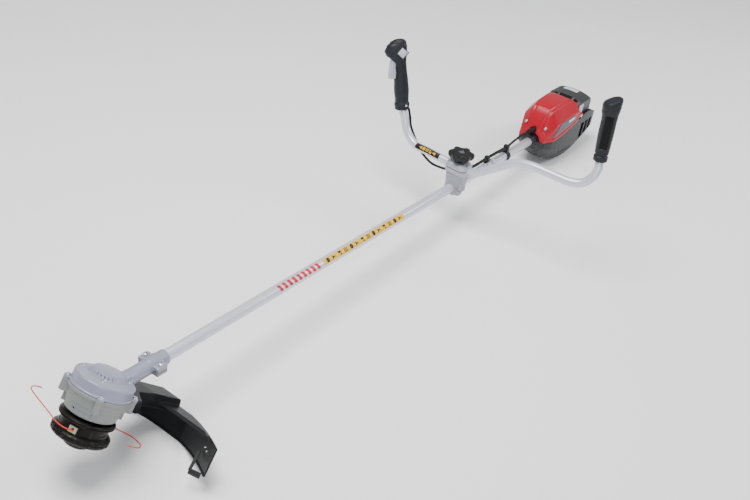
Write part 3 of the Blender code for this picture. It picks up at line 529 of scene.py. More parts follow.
def add_light(name, spot, aim, size, power, colour):
    light = bpy.data.lights.new(name, "AREA")
    light.shape = "DISK"
    light.size, light.energy, light.color = size, power, colour
    obj = bpy.data.objects.new(name, light)
    spot, aim = Vector(spot), Vector(aim)
    turn = (aim - spot).to_track_quat("-Z", "Y").to_matrix().to_4x4()
    obj.matrix_world = Matrix.Translation(spot) @ turn
    bpy.context.scene.collection.objects.link(obj)


def make_stage():
    scene = bpy.context.scene
    lens = bpy.data.cameras.new("camera")
    lens.lens, lens.sensor_width = 48, 36
    camera = bpy.data.objects.new("camera", lens)
    tool_turn = TOOL.to_3x3().normalized().to_4x4()
    look = (AIM - EYE).to_track_quat("-Z", "Y").to_matrix().to_4x4()
    camera.matrix_world = (Matrix.Translation(TOOL @ EYE) @ tool_turn @ look
                           @ Matrix.Rotation(CAMERA_ROLL, 4, "Z"))
    scene.collection.objects.link(camera)
    scene.camera = camera

    bm = bmesh.new()
    bmesh.ops.create_grid(bm, x_segments=4, y_segments=4, size=12)
    mesh = bpy.data.meshes.new("floor")
    bm.to_mesh(mesh)
    bm.free()
    floor = bpy.data.objects.new("floor", mesh)
    mesh.materials.append(finish_of("floor_paint", (0.93, 0.93, 0.935), 0.8, 0, 300, 0.02,
        vary=0.01, patch=0.6))
    scene.collection.objects.link(floor)

    world = bpy.data.worlds.new("studio")
    world.use_nodes = True
    world.node_tree.nodes["Background"].inputs["Color"].default_value = (0.95, 0.97, 1, 1)
    world.node_tree.nodes["Background"].inputs["Strength"].default_value = 0.5
    scene.world = world
    add_light("key", (0.6, -0.4, 3.2), (0.2, 0, 0.2), 2.0, 150, (1, 0.99, 0.98))
    add_light("fill", (2.6, 2.2, 1.6), (0.2, 0, 0.2), 1.6, 34, (0.95, 0.97, 1))
    add_light("back", (-2.2, 1.6, 2.0), (-0.4, 0, 0.3), 1.2, 40, (1, 1, 1))


# ---- more shapes

def circle(r, sides):
    return [(r * cos(TAU * i / sides), r * sin(TAU * i / sides)) for i in range(sides)]


def disc(x, y, r, z):
    return [(x + a, y + b, z) for a, b in circle(r, 72)]


def ring_x(x, r):
    """A circle across the tool at one place along it."""
    return [(x, a, b) for a, b in circle(r, 48)]


def collar(outer, front, back, edge):
    """A ring round the shaft tube."""
    profile = [(outer, front), (outer, back), (TUBE_BORE, back), (TUBE_BORE, front)]
    return moved(lathe(profile, 64, edge), ALONG)


def plate(outline, low, high):
    return loft([[(x, y, z) for x, y in outline] for z in (low, high)])


def softened(bm, width, segments=3):
    bmesh.ops.recalc_face_normals(bm, faces=bm.faces)
    bmesh.ops.dissolve_limit(bm, angle_limit=radians(2), verts=bm.verts, edges=bm.edges)
    sharp = [e for e in bm.edges if len(e.link_faces) == 2 and e.calc_face_angle(0) > radians(20)]
    bmesh.ops.bevel(bm, geom=sharp, offset=width, segments=segments, profile=0.5, affect="EDGES",
                    clamp_overlap=True)
    return bm


def slab(radius, z0, z1, first, second, lift=0.14, sink=0.35, steps=8, spans=1):
    """A printed patch that hugs a tube along Z, between two angles at each end."""
    rings = []
    for k in range(spans + 1):
        t = k / spans
        z = z0 + (z1 - z0) * t
        a, b = (u + (v - u) * t for u, v in zip(first, second))
        arc = [a + (b - a) * i / steps for i in range(steps + 1)]
        points = [((radius + lift) * cos(t), (radius + lift) * sin(t), z) for t in arc]
        points += [((radius - sink) * cos(t), (radius - sink) * sin(t), z) for t in reversed(arc)]
        rings.append(points)
    return loft(rings)


def print_marks(radius, middle, start, pitch, count, size, lift):
    """A row of plain signs: triangle, dot, bars, square in turn."""
    marks = []

    def add(z0, z1, w0, w1, shift=0.0):
        first = middle + (shift - w0) / radius, middle + (shift + w0) / radius
        second = middle + (shift - w1) / radius, middle + (shift + w1) / radius
        marks.append(slab(radius, z0, z1, first, second, lift))

    for i in range(count):
        z = start + pitch * i
        kind = i % 4
        if kind == 0:
            add(z - size, z + size, 0.2, size)
        elif kind == 1:
            steps = 6
            for k in range(steps):
                low, high = (-1 + 2 * k / steps) * size, (-1 + 2 * (k + 1) / steps) * size
                add(z + low, z + high, max(0.2, sqrt(max(0.0, size ** 2 - low ** 2))),
                    max(0.2, sqrt(max(0.0, size ** 2 - high ** 2))))
        elif kind == 2:
            for k in (-1, 0, 1):
                add(z + size * (0.7 * k - 0.2), z + size * (0.7 * k + 0.2), size * 0.9, size * 0.9)
        else:
            add(z - size * 0.8, z + size * 0.8, size * 0.45, size * 0.45, size * 0.5)
            add(z - size * 0.8, z - size * 0.1, size * 0.35, size * 0.35, -size * 0.55)
    return marks


def lofted(stations, count=40, steps=5, power=2.4):
    """A grip from stations (z, front, back, side, slant, shift) with smooth spans between."""
    rows = [tuple(s) + (0.0,) * (6 - len(s)) for s in stations]
    dense = [rows[0]]
    for first, second in zip(rows, rows[1:]):
        short = abs(second[0] - first[0]) < 4
        for k in range(1, (1 if short else steps) + 1):
            t = k / (1 if short else steps)
            ease = t if short else t * t * (3 - 2 * t)
            dense.append(tuple([first[0] + (second[0] - first[0]) * t]
                               + [a + (b - a) * ease for a, b in zip(first[1:], second[1:])]))
    rings = []
    for z, front, back, side, slant, shift in dense:
        rings.append([(x, y, z - slant * (x - shift)) for x, y in oval(front, back, side, count,
            power, shift)])
    return loft(rings)


# ---- cutting head

VENT_ANGLES = [radians(-18 + 12.5 * i) for i in range(8)]
POCKETS = ((20, -43), (21, 15), (-48, 18))


def lugs(low, high, reach, half):
    made = []
    for angle in LUG_ANGLES:
        turn = spin("Z", angle)
        made.append(moved(block((48, -half, low), (reach - 1, half, high), 1.2), turn))
        made.append(moved(upright(half, reach - 2, 0, low, high, 24), turn))
    return made


def make_motor_cover():
    low = COVER_LOW
    skirt = lathe([(0.01, low), (59, low), (59, 18.2), (57.3, 19.4), (57.3, 36.4), (55.6, 38.8),
                   (0.01, 39.4)], 128, 1.0)
    dome = loft([disc(-15, -10, 39.5, 30), disc(-15, -10, 39, 39.2), disc(-16, -11, 37, 40.4),
                 disc(-17, -11, 34, 42.6), disc(-18, -12, 31, 44.8), disc(-19, -13, 29, 45.8),
                 disc(-20, -13, 16, 46.6)])
    neck = loft([ring_x(NECK_BACK, 14.9), ring_x(NECK_BACK + 1.2, 15.8), ring_x(1096, 15.9),
                 ring_x(1112, 17.2), ring_x(1126, 18.6), ring_x(1150, 19.5)])
    ears = pair((EAR_X - 13, 8, -1), (EAR_X + 13, 28, 9), 2.5)
    saddle = along_x(17.2, EAR_X - 13, EAR_X + 13, 48)
    room = lathe([(0.01, 30), (14.3, 30), (14.3, 21), (19.4, 21), (19.4, 32.8), (53.4, 32.8),
                  (53.4, -45), (0.01, -45)], 96, 0)
    split = block((EAR_X - 14.5, -32, -30), (EAR_X + 14.5, 32, 0))
    bore = along_x(TUBE_R + 0.25, NECK_BACK - 5, TUBE_FRONT + 1)
    late = [room] + [moved(bm, IN_HEAD) for bm in (split, bore)]
    late += [upright(6.6, x, y, 36.0, 60) for x, y in POCKETS]
    for angle in VENT_ANGLES:
        slot = block((29.5, -1.8, 36), (37.0, 1.8, 60), 0.5)
        late.append(moved(slot, at(-17, -11, 0, "Z", angle)))
    late += [moved(upright(3.3, EAR_X, s * EAR_Y, -5, 15, 24), IN_HEAD) for s in (-1, 1)]
    solids = [skirt, dome] + lugs(low, 20.5, 64.5, 7)
    solids += [moved(bm, IN_HEAD) for bm in (neck, saddle, *ears)]
    cast("motor_cover_cast", solids, HEAD, "cover_paint", ["motor_cover"], voxel=0.85, rounds=3,
         late_cuts=late)
    for index, (x, y) in enumerate(POCKETS, 1):
        screw(f"cover_pocket_screw_{index}", HEAD @ at(x, y, 35.9), 4.2, 2.8)
    for index, angle in enumerate(LUG_ANGLES, 1):
        x, y = LUG_R * cos(radians(angle)), LUG_R * sin(radians(angle))
        screw(f"lug_screw_{index}", HEAD @ at(x, y, 20.3), 4.6, 3.6, [f"housing_screw_{index}"])
    for side, name in SIDES:
        screw(f"neck_screw_{name}", TOOL @ at(EAR_X, side * EAR_Y, 8.8), 5, 5.2,
              [f"neck_bolt_{name}"])


def make_motor_housing():
    top = COVER_LOW - 0.35
    shell = lathe([(0.01, top), (60.2, top), (60.2, 9.4), (57, 7.6), (56.6, 1.5), (55.2, 0.6),
                   (54.6, -8.5), (52.8, -9.8), (52.4, -17.5), (50.6, -19.2), (49.8, -28.5),
                   (47, -31), (0.01, -31)], 128, 0.6)
    bosses = lugs(-9, top, 64, 6.8)
    pads = pair((-60, 22, -6), (-48, 38, 3), 1.5)
    ribs = [moved(block((46, -1.6, -26), (57, 1.6, -8), 0.6), spin("Z", angle))
            for angle in LUG_ANGLES]
    room = lathe([(0.01, 20), (53.5, 20), (53.5, 14), (51, -14), (45, -27), (15, -27), (15, -22.5),
                  (11.3, -22.5), (11.3, -40), (0.01, -40)], 96, 0)
    neck = moved(along_x(19.2, 1016, 1150), IN_HEAD)
    hole = moved(cylinder(2.4, (40, 0, -20), (62, 0, -20), 20), at(0, 0, 0, "Z", 0.035))
    cast("motor_housing_cast", [shell, *bosses, *pads, *ribs], HEAD, "cast_metal",
         ["motor_housing"], voxel=0.85, rounds=2, late_cuts=[room, neck, hole])

    x0, x1 = EAR_X - 13, EAR_X + 13
    cap = [along_x(16.6, x0, x1, 48)]
    cap += pair((x0, 9, -11), (x1, 27, -1.4), 2)
    above = block((x0 - 2, -40, -1.1), (x1 + 2, 40, 30))
    bore = along_x(TUBE_R + 0.25, x0 - 2, x1 + 2)
    cast("neck_cap_cast", cap, TOOL, "cast_metal", ["neck_clamp_cap"], rounds=3,
         late_cuts=[above, bore])


def make_line_head():
    bore = 6.3

    def notched(angle, r, z):
        return r - (0.9 if r > 52.4 and cos(24 * angle) > 0.55 else 0.0)

    plate_bm = lathe([(bore, -33.5), (28, -33.5), (34, -35.5), (49, -36), (53, -38.5), (53, -39.8),
                      (51.4, -40.3), (51.4, -41.4), (53, -42), (53, -43.6), (48.5, -46),
                      (bore, -46)], 192, 0.5)
    finished("line_head_plate_moulded", plate_bm, HEAD, "head_plastic", ["line_head_plate"],
             "cutting_head")
    body = lathe([(46.5, -46.3), (46.5, -48.4), (45.6, -48.8), (45.6, -62), (52, -65), (55, -68),
                  (55, -70.2), (53.6, -70.8), (53.6, -72), (55, -72.6), (55, -76), (51.5, -79.5),
                  (40, -81), (31, -81), (31, -76), (42.5, -74), (42.5, -46.3)], 192, 0.5,
                 wave=notched)
    windows = [moved(block((36, -8, -62.5), (52, 8, -49.5), 1), spin("Z", angle))
               for angle in EYELET_ANGLES.values()]
    slots = [moved(block((44, -9, -58), (52, 9, -53), 1), spin("Z", angle)) for angle in (95, 145,
        -35, -80, -120)]
    carved("line_head_body_moulded", [body], HEAD, "head_plastic", ["line_head_body"],
           "cutting_head", cuts=windows + slots)

    def ribbed(angle, r, z):
        return r * (1 + (0.022 * cos(20 * angle) if 20 < r and z > -95 else 0))

    knob = lathe([(0.01, -86), (7, -86), (7, -74.8), (26, -74.8), (26.8, -79), (26.5, -88),
                  (24.5, -93.5), (19, -97), (12, -98.5), (11, -97.2), (0.01, -97)], 160, 0.8,
                 wave=ribbed)
    finished("bump_knob_moulded", knob, HEAD, "head_plastic", ["bump_knob"], "bump_feed")
    coil = [(9.2 * cos(a), 9.2 * sin(a), -68.6 + 20.8 * a / (4 * TAU))
            for a in (TAU * i / 24 for i in range(4 * 24 + 1))]
    spring = finished("bump_spring_wire", tube([Vector(p) for p in coil], 0.9, 12), HEAD,
                      "bright_steel", ["bump_spring"], "cutting_head")
    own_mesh(spring)

    for name, angle in EYELET_ANGLES.items():
        turn = spin("Z", angle)
        frame_bm = block((43, -7.7, -62.2), (48.5, 7.7, -49.8), 0.9)
        hole = lathe([(0.01, -6), (2.2, -6), (2.2, 4.5), (4.6, 7.5), (0.01, 7.5)], 32, 0)
        lay = at(42, 0, LINE_HEIGHT) @ ALONG
        carved(f"eyelet_{name}_glazed", [moved(frame_bm, turn)], HEAD, "cream_ceramic",
               [f"eyelet_{name}"], "cutting_head", cuts=[moved(hole, turn @ lay)])

    z = LINE_HEIGHT
    turn = spin("Z", EYELET_ANGLES["front"])
    root, out = turn @ Vector((43, 0, z)), turn @ Vector((52, 0, z))
    front = [root, out, (58.5, 6, z), (57, -17, z), (47, -45, z), (37, -75, z), (27, -103, z),
             (17, -128, z), (7, -139, z), (-5, -141, z), (-16, -135, z)]
    rear = [(-root.x, -root.y, z), (-out.x, -out.y, z), (-60, -10, z), (-64, 19, z), (-77, 45, z),
            (-74, 75, z), (-57, 88, z), (-36, 79, z)]
    for name, points in (("front", front), ("rear", rear)):
        finished(f"line_{name}_strand", tube(smooth_route(points, 10), 1.2, 14), HEAD, "red_nylon",
                 [f"cutting_line_{name}"], "cutting_head")


# ---- guard

GUARD_WALL = 3.0


def guard_line(inset, count=10):
    back = -(GUARD_BACK - inset)
    points = [(back + 66, -(112 - inset * 0.8)), (back + 36, -(84 - inset * 0.6)),
              (back + 12, -(47 - inset * 0.3)), (back, 0), (back, 66)]
    for i in range(1, count + 1):
        t = i / count
        points.append((back + 68 * t ** 1.5, 66 + (131 - inset * 0.5) * t))
    return [(p.x, p.y) for p in smooth_route([(x, y, 0) for x, y in points], 4)]


def hump_rings(inset, low):
    near, far = 63.0 + inset, GUARD_BACK - 4.0 - inset
    rings = []
    for reach, right, left, top in ((near, -46, 44, 9), (78, -52, 44, 10.5), (102, -57, 12, 12),
            (140, -45, 22, 14), (far, -18, 46, 14)):
        right, left, top = right + inset, left - inset, top - inset
        rings.append([(-reach, right, low), (-reach, left, low), (-reach, left - 6, top),
                      (-reach, right + 6, top)])
    return rings


def make_guard():
    skirt = plate(guard_line(0) + guard_line(GUARD_WALL)[::-1], -GUARD_DEPTH, 0)
    lip = plate(guard_line(0) + guard_line(4.6)[::-1], -GUARD_DEPTH, -GUARD_DEPTH + 4)
    shelf = plate([p for p in guard_line(1.0) if p[0] < -151], -3.2, 0.4)
    step = plate([p for p in guard_line(9.0) if p[0] < -156], -1, 2.4)
    hump = loft(hump_rings(0, -12))
    arms = pair((-68, 21, -13), (-62.5, 39, 4.5), 1)
    holes = [cylinder(2.7, (-80, y, -1.5), (-55, y, -1.5), 20) for y in (-30, 30)]
    cast("debris_guard_moulded", [skirt, lip, shelf, step, hump, *arms], HEAD, "guard_plastic",
         ["debris_guard"], cuts=[loft(hump_rings(GUARD_WALL, -22))], voxel=1.15, rounds=3,
         late_cuts=holes)
    lie = spin("Y", -90)
    for side, name in SIDES:
        screw(f"guard_screw_{name}", HEAD @ at(-68, side * 30, -1.5) @ lie, 4.7, 3.6,
              [f"guard_bolt_{name}"])
    turn = at(-121, 178, -58) @ spin("Z", 25)
    blade = moved(block((-1.2, -12, -5), (1.2, 12, 4), 0.4), turn)
    edge = loft([[(-1.0, y, -5), (1.0, y, -5), (0.1, y, -8)] for y in (-12, 12)])
    strip_route = [Vector(p) for p in ((-117, 168, -57), (-137, 157.5, -45), (-156, 147, -34))]
    strip = loft([[here + side * a + up * b for a, b in ((-4, -1), (4, -1), (4, 1), (-4, 1))]
                  for here, side, up in route_frames(strip_route)])
    finished("line_cutter_ground", merged([blade, moved(edge, turn)]), HEAD, "black_plastic",
             ["line_cutter_blade"], smooth=25)
    finished("line_cutter_strip", strip, HEAD, "dark_steel", smooth=25)
    pins = (((-134, 174, -18), (0.88, -0.48, 0)), ((-140, 164, -15), (0.88, -0.48, 0)),
            ((-191, 22, -14), (1, 0, 0)))
    for index, (spot, inward) in enumerate(pins, 1):
        inward = Vector(inward).normalized()
        wall = Matrix.Translation(Vector(spot) - inward * 3)
        screw(f"guard_pin_{index}", HEAD @ wall @ aimed(inward), 1.7, 4)


# ---- shaft and its fittings

LABEL_ANGLE = radians(139)


def make_shaft():
    r0 = TUBE_R - 1.6
    on_shaft = TOOL @ ALONG
    pipe = lathe([(TUBE_R, TUBE_FRONT), (TUBE_R, TUBE_REAR), (r0, TUBE_REAR), (r0, TUBE_FRONT)], 96,
                 0.3)
    finished("shaft_tube_drawn", pipe, on_shaft, "tube_paint", ["shaft_tube"])
    sides = LABEL_ANGLE - 0.56, LABEL_ANGLE + 0.56
    label = slab(TUBE_R, 247, 553, sides, sides, steps=20)
    finished("shaft_label", label, on_shaft, "yellow_print")
    marks = print_marks(TUBE_R, LABEL_ANGLE, 262, 21.2, 14, 5.8, 0.24)
    finished("shaft_label_signs", merged(marks), on_shaft, "black_print")
    stripes = []
    reach = 0.62
    for i in range(9):
        x = 566 + 15.5 * i
        for k in range(10):
            a = LABEL_ANGLE + reach * (k / 5 - 1)
            b = LABEL_ANGLE + reach * ((k + 1) / 5 - 1)
            stripes.append(slab(TUBE_R, x + k * 0.55, x + 8.8 + k * 0.55, (a, b), (a, b), 0.13,
                                steps=2))
    finished("shaft_stripes", merged(stripes), on_shaft, "red_print")


def make_harness_hanger():
    band = collar(15.6, -166, -182, 0.6)
    lean = spin("X", -38)
    strip = block((-180, -8, 13.4), (-102, 8, 16.2), 0.8)
    ear = block((-181, -6, 12), (-167, 6, 22), 2)
    nut = cylinder(4.6, (-174, -9, 18), (-174, 9, 18), 6)
    holes = [moved(upright(4.2, x, 0, 8, 26), lean) for x in (-112, -128, -144)]
    bore = along_x(TUBE_BORE, -190, -95)
    cast("harness_hanger_cast", [band] + [moved(bm, lean) for bm in (strip, ear, nut)], TOOL,
         "clamp_metal", ["harness_hanger"], voxel=0.6, rounds=2, late_cuts=[bore, *holes],
         slot="cast_aluminium")


CABLE = [(-32, -200, 134), (-31, -190, 112), (-29, -182, 90), (-29, -164, 63), (-28, -146, 42),
         (-28, -127, 26), (-28, -97, 12.5), (-33, -62, 11), (-44, -34, 15), (-52, -6, 24),
         (-75, -3, 25), (-100, 0, 26.5), (-150, 0, 28), (-200, 0, 28), (-255, 0, 27), (-300, 0, 34),
         (-340, 0, 38), (-392, 0, 37), (-404, 0, 37)]
CABLE_R = 3.3
BOOT_R = 4.3
BOOT_X = (-255, -75)


def make_cable():
    route = smooth_route(CABLE, 12)
    places = [p.x for p in route]

    def radius(t):
        x = places[round(t * (len(places) - 1))]
        inside = BOOT_X[0] < x < BOOT_X[1] and t > 0.4
        return BOOT_R + 0.25 * sin(x * 1.1) if inside else CABLE_R

    cable = finished("control_cable", tube(route, radius, 24), TOOL, "cable_rubber",
                     ["grip_cable", "shaft_cable"], None, smooth=180)
    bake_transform(cable)

    band, rim = collar(15.8, -250, -264, 0.8), collar(16.6, -254, -260, 0.8)
    holder = block((-263, -8, 13), (-251, 8, 34), 3)
    bore = along_x(TUBE_BORE, -280, -240)
    cast("cable_band_moulded", [band, rim, holder], TOOL, "black_plastic", ["cable_band"],
         voxel=0.6, rounds=3, late_cuts=[bore])
    clip = block((-158, -7, 17.6), (-146, 7, 34.5), 2.5)
    foot = block((-162, -6, 15), (-142, 6, 20), 1.5)
    cast("cable_clip_moulded", [clip, foot], TOOL, "black_plastic", ["cable_clip"], voxel=0.6,
         rounds=3)


# ---- handle clamp

def block_ring(x, y, z, corner=8):
    return [(x, y - corner, z), (x - corner, y, z), (-x + corner, y, z), (-x, y - corner, z),
            (-x, -y + corner, z), (-x + corner, -y, z), (x - corner, -y, z), (x, -y + corner, z)]


def block_stack(*rows):
    return loft([block_ring(*row) for row in rows])


def bar_way(gap):
    return cylinder(BAR_R + gap, (0, -50, BAR_Z), (0, 50, BAR_Z), 64)


def make_clamp():
    base = [block_stack((24, 22, 0.5), (25, 22, 12), (26, 24, 27), (26, 24, 40.0)),
            cylinder(15.6, (-26, 0, 2), (26, 0, 2), 48)]
    pinch = block((2, 17, -6), (22, 25.5, 16), 2.5)
    groove = block((-30, 23, 25.4), (30, 26, 26.6), 0.3)
    below = block((-40, -40, -60), (40, 40, 0.3))
    cast("clamp_base_cast", [*base, pinch], TOOL, "clamp_base_metal", ["clamp_base"],
         late_cuts=[along_x(TUBE_BORE, -50, 50), below, groove, upright(4.5, 0, 0, 10, 60)])
    cap = [block_stack((20, 14, -21), (24, 22.5, -12), (24, 22.5, -0.4)),
           block((2, 17, -16), (22, 25.5, -2), 2.5)]
    wells = [upright(4.3, 0, side * 17.6, -30, -17, 24) for side in (-1, 1)]
    cast("clamp_shaft_cap_cast", cap, TOOL, "clamp_base_metal", ["clamp_shaft_cap"],
         late_cuts=[along_x(TUBE_BORE, -50, 50), *wells, block((-40, -40, -0.5), (40, 40, 20))])

    saddle = [block_stack((25.4, 28, 41), (27, 29.4, 47), (26, 29, 54.6)),
              cylinder(14, (0, -30, 52), (0, 30, 52), 48)]
    top = [block_stack((26, 29, 55.6), (27, 29, 61), (23.5, 25.5, 67.5), (17, 18, 70.9)),
           block((-31, -10, 56), (-16, 10, 68), 3.5), cylinder(14, (0, -30, 57), (0, 30, 57), 48)]
    halves = ("clamp_saddle", saddle, 53.7, 90), ("clamp_top_cap", top, 20, 56.3)
    for name, solids, low, high in halves:
        cast(f"{name}_cast", solids, TOOL, "clamp_metal", [name], "handlebar",
             late_cuts=[bar_way(0.2), upright(4.5, 0, 0, 30, 80),
                        block((-40, -40, low), (40, 40, high))])


# Painted shade: a black solid fills the gap between the clamp saddle and the top cap, where the real
# gap holds only shade.
def make_clamp_gap_shade():
    carved("clamp_gap_shade_fill", [block_stack((25.4, 28.4, 53.6), (25.4, 28.4, 56.4))], TOOL,
           "black_print", body="handlebar", cuts=[bar_way(0.1)], slot="black_rubber")


def make_knob():
    rows = ((0.60, 6.3), (0.88, 9.2), (0.98, 14), (1.0, 18.5), (0.99, 23), (0.93, 26), (0.74, 27.6),
            (0.50, 27.9))
    rings = []
    for scale, z in rows:
        lobe = 3.7 * min(1.0, scale * 1.1) * (1 if scale > 0.6 else 0.3)
        ring = []
        for i in range(96):
            a = TAU * i / 96
            wave = cos(6 * a)
            reach = (31.0 + lobe * copysign(abs(wave) ** 0.7, wave)) * scale
            ring.append((reach * cos(a), reach * sin(a), z))
        rings.append(ring)
    hub = cylinder(13, (0, 0, 0.2), (0, 0, 10.4), 48, end_radius=17)
    dish = upright(9.6, 0, 0, 24.5, 40, 40)
    bore = upright(4.4, 0, 0, -5, 13.5)
    where = TOOL @ at(0, 0, KNOB_Z)
    cast("clamp_knob_moulded", [loft(rings), hub], where, "black_plastic", ["clamp_knob"],
         "handle_knob", rounds=3, late_cuts=[dish, bore])
    button = lathe([(0.01, 24), (8.4, 24), (8.4, 25.2), (6, 26.6), (0.01, 27)], 48, 0.6)
    finished("clamp_knob_badge", button, where, "grey_plastic", body="handle_knob")


# ---- handlebar and grips

def make_handlebar():
    right_end, left_end = RIGHT_GRIP + RIGHT_AXIS * 66, LEFT_GRIP + LEFT_AXIS * 116
    points = [right_end, RIGHT_GRIP + RIGHT_AXIS * 20, RIGHT_GRIP, (-17, -198, 111),
              (-12, -183, 84), (-7, -162, 66), (-3, -138, 57), (-1, -102, 57), (0, -60, 55.6),
              (0, -38, 55), (0, 0, 55), (0, 32, 55), (0, 40, 55.4), (-1, 52, 59.5), (-6, 76, 75),
              (-14, 107, 97), (-21, 140, 119), (-24, 180, 130), (-25, 240, 132), (-26, 292, 133),
              (-33, 322, 141), (-42, 338, 159), (-51, 343, 178), LEFT_GRIP, LEFT_GRIP
              + LEFT_AXIS * 20, left_end]
    bar = tube(smooth_route(points, 8), BAR_R, 64)
    carved("handlebar_bent", [bar], TOOL, "tube_paint", ["handlebar"], "handlebar",
           cuts=[upright(4.5, 0, 0, 30, 80)], smooth=180)
    printed = [p for p in smooth_route(points, 24) if -136 < p.y < -58]
    length = sum((q - p).length for p, q in zip(printed, printed[1:]))
    sides = -0.72, 0.72
    label = slab(BAR_R, 0, length, sides, sides, 0.25, steps=18, spans=40)
    finished("bar_label", along_route(label, printed), TOOL, "black_print", body="handlebar")
    marks = print_marks(BAR_R, 0.0, 17, 10.6, 5, 4.4, 0.4)
    finished("bar_label_signs", along_route(merged(marks), printed), TOOL, "yellow_print",
             body="handlebar")


def along_route(bm, route):
    """Bend a straight piece on Z along a route, with its local X turned towards FACING."""
    lengths = [0.0]
    for p, q in zip(route, route[1:]):
        lengths.append(lengths[-1] + (q - p).length)
    for vert in bm.verts:
        z = min(max(vert.co.z, 0.0), lengths[-1] - 1e-6)
        k = max(i for i in range(len(route) - 1) if lengths[i] <= z)
        t = (z - lengths[k]) / (lengths[k + 1] - lengths[k])
        before, after = route[max(k - 1, 0)], route[min(k + 2, len(route) - 1)]
        ahead = (after - before).normalized()
        x = (FACING - ahead * FACING.dot(ahead)).normalized()
        y = ahead.cross(x)
        vert.co = route[k].lerp(route[k + 1], t) + x * vert.co.x + y * vert.co.y
    return bm


def make_left_grip():
    grip = lofted([(-3, 13.5, 13.5, 13), (-1, 16.6, 16.6, 16), (11, 17, 17, 16.4),
                   (13, 14.6, 14.6, 14), (15.5, 14.6, 14.6, 14), (18, 16.4, 16.4, 15.6),
                   (40, 17.6, 17.2, 16.6), (72, 18.8, 18, 17.4), (98, 18.4, 18, 17.2),
                   (112, 19, 18.6, 17.6, 0.1), (126, 21.4, 21, 19.2, 0.3), (131, 22.2, 21.6, 19.8,
        0.36), (133, 21.2, 20.6, 18.8, 0.38), (136, 22.2, 21.6, 20.0, 0.38), (146, 22.6, 21.8, 20.4,
        0.4), (150, 21, 20.4, 18.8, 0.4), (151.5, 17, 17, 15, 0.4), (152, 8, 8, 7, 0.4)])
    turn = Matrix.Rotation(-0.5, 4, "Z")
    dent = moved(block((-11.5, 15.0, 30), (11.5, 40, 116), 4), turn)
    bore = upright(BAR_BORE, 0, 0, -8, 118, 48)
    cast("left_grip_moulded", [grip], LEFT, "grip_rubber", ["left_grip"], "handlebar", cuts=[dent],
         voxel=0.75, rounds=3, late_cuts=[bore])
    panel = moved(block((-10.4, 12.2, 31.5), (10.4, 15.5, 114.5), 1.4), turn)
    finished("left_grip_palm_pad", panel, LEFT, "panel_rubber", body="handlebar")


def make_right_grip():
    grip = lofted([(-8, 15, 15, 14), (-6, 19, 19, 17.5), (10, 19.5, 19.5, 18), (15, 18, 18, 17),
                   (45, 20, 19.5, 18), (72, 19, 18, 17.5), (98, 16, 15.5, 16), (116, 17, 14.5, 16),
                   (127, 28, 15, 17.5), (135, 38, 16, 19), (147, 42.5, 17, 19.8),
                   (160, 37, 17.5, 19), (170, 27, 16, 16.5), (176, 17, 12, 12), (178, 8, 6, 6)])
    rim = loft([[(x, y, z) for x, y in oval(20.3, 20.3, 18.8, 40)] for z in (3.2, 9.5)])
    trigger_way = block((-3, -7.4, 71.5), (60, 7.4, 136), 1)
    turn = spin("Y", 45)
    button_way = moved(block((-10.5, 0, -10.5), (10.5, 18, 10.5), 1.2),
                       at(LOCK_BACK, 8.5, 143) @ turn)
    bore = upright(BAR_BORE, 0, 0, -14, 68.5, 48)
    cast("right_grip_moulded", [grip, rim], RIGHT, "grip_rubber", ["right_grip"], "handlebar",
         voxel=0.75, rounds=3, late_cuts=[trigger_way, button_way, bore], slot="black_plastic")
    surround = block((-12.6, 0, -12.6), (12.6, 4.2, 12.6), 1.4)
    hole = block((-10.5, -5, -10.5), (10.5, 18, 10.5), 1.2)
    carved("lock_button_surround", [surround], RIGHT @ at(LOCK_BACK, 15.6, 143) @ turn,
           "grip_rubber", body="handlebar", cuts=[hole], slot="black_plastic")
    screw("right_grip_screw", RIGHT @ at(-6.5, 17.2, 5) @ aimed((-0.3, 1, 0), "X"), 3.2, 2.6,
          body="handlebar")

    outline = [(-6, 3), (4, 5), (9, 2), (15, -12), (21, -49), (19, -52.5), (1, -53.5), (0, -49),
               (2, -22), (-6, -5)]
    pivot = RIGHT @ at(14, 0, 129)
    lever = loft([[(x, y, z) for x, z in outline] for y in (-6.6, 6.6)])
    finished("throttle_trigger_moulded", softened(lever, 1.6), pivot, "light_plastic",
             ["throttle_trigger"], "trigger")
    button = block((-10, -4, -10), (10, 4.2, 10), 1.4)
    crown = block((-7.4, 3, -7.4), (7.4, 5.2, 7.4), 0.9)
    finished("lock_off_button_moulded", moved(merged([button, crown]), turn),
             RIGHT @ at(LOCK_BACK, 16, 143), "light_plastic", ["lock_off_button"], "lock_button")


# ---- rear unit

LOWER = [  # x, half width, top edge, side break, half floor, floor
    (-398, 25, 5, -6, 14, -20), (-412, 43, 5, -13, 24, -33), (-440, 54, 4, -22, 34, -54),
    (-490, 60, 18, -31, 42, -70), (-545, 62, 32, -36, 46, -76), (-592, 62, 46, -34, 46, -73),
    (-640, 61, 52, -28, 44, -65), (-692, 57, 34, -14, 40, -43), (-712, 50, 26, -4, 32, -26)]
UPPER = [  # x, half width, lower edge, shoulder, half roof, roof
    (-406, 40, 5, 16, 26, 27), (-428, 49, 5, 39, 29, 71), (-445, 55, 6, 58, 32, 92),
    (-490, 60, 18, 68, 36, 99), (-545, 62, 32, 72, 40, 98), (-568, 62, 39, 68, 44, 92)]


def dense(rows, per_span=4):
    """Rows of numbers with smooth rows between them, and no overshoot in the first column."""
    out = []
    for i in range(len(rows) - 1):
        a, b = rows[max(i - 1, 0)], rows[i]
        c, d = rows[i + 1], rows[min(i + 2, len(rows) - 1)]
        for k in range(per_span):
            t = k / per_span
            row = [0.5 * (2 * q + (r - p) * t + (2 * p - 5 * q + 4 * r - s) * t * t
                          + (3 * q - p - 3 * r + s) * t ** 3) for p, q, r, s in zip(a, b, c, d)]
            out.append((b[0] + (c[0] - b[0]) * t, *row[1:]))
    return out + [rows[-1]]


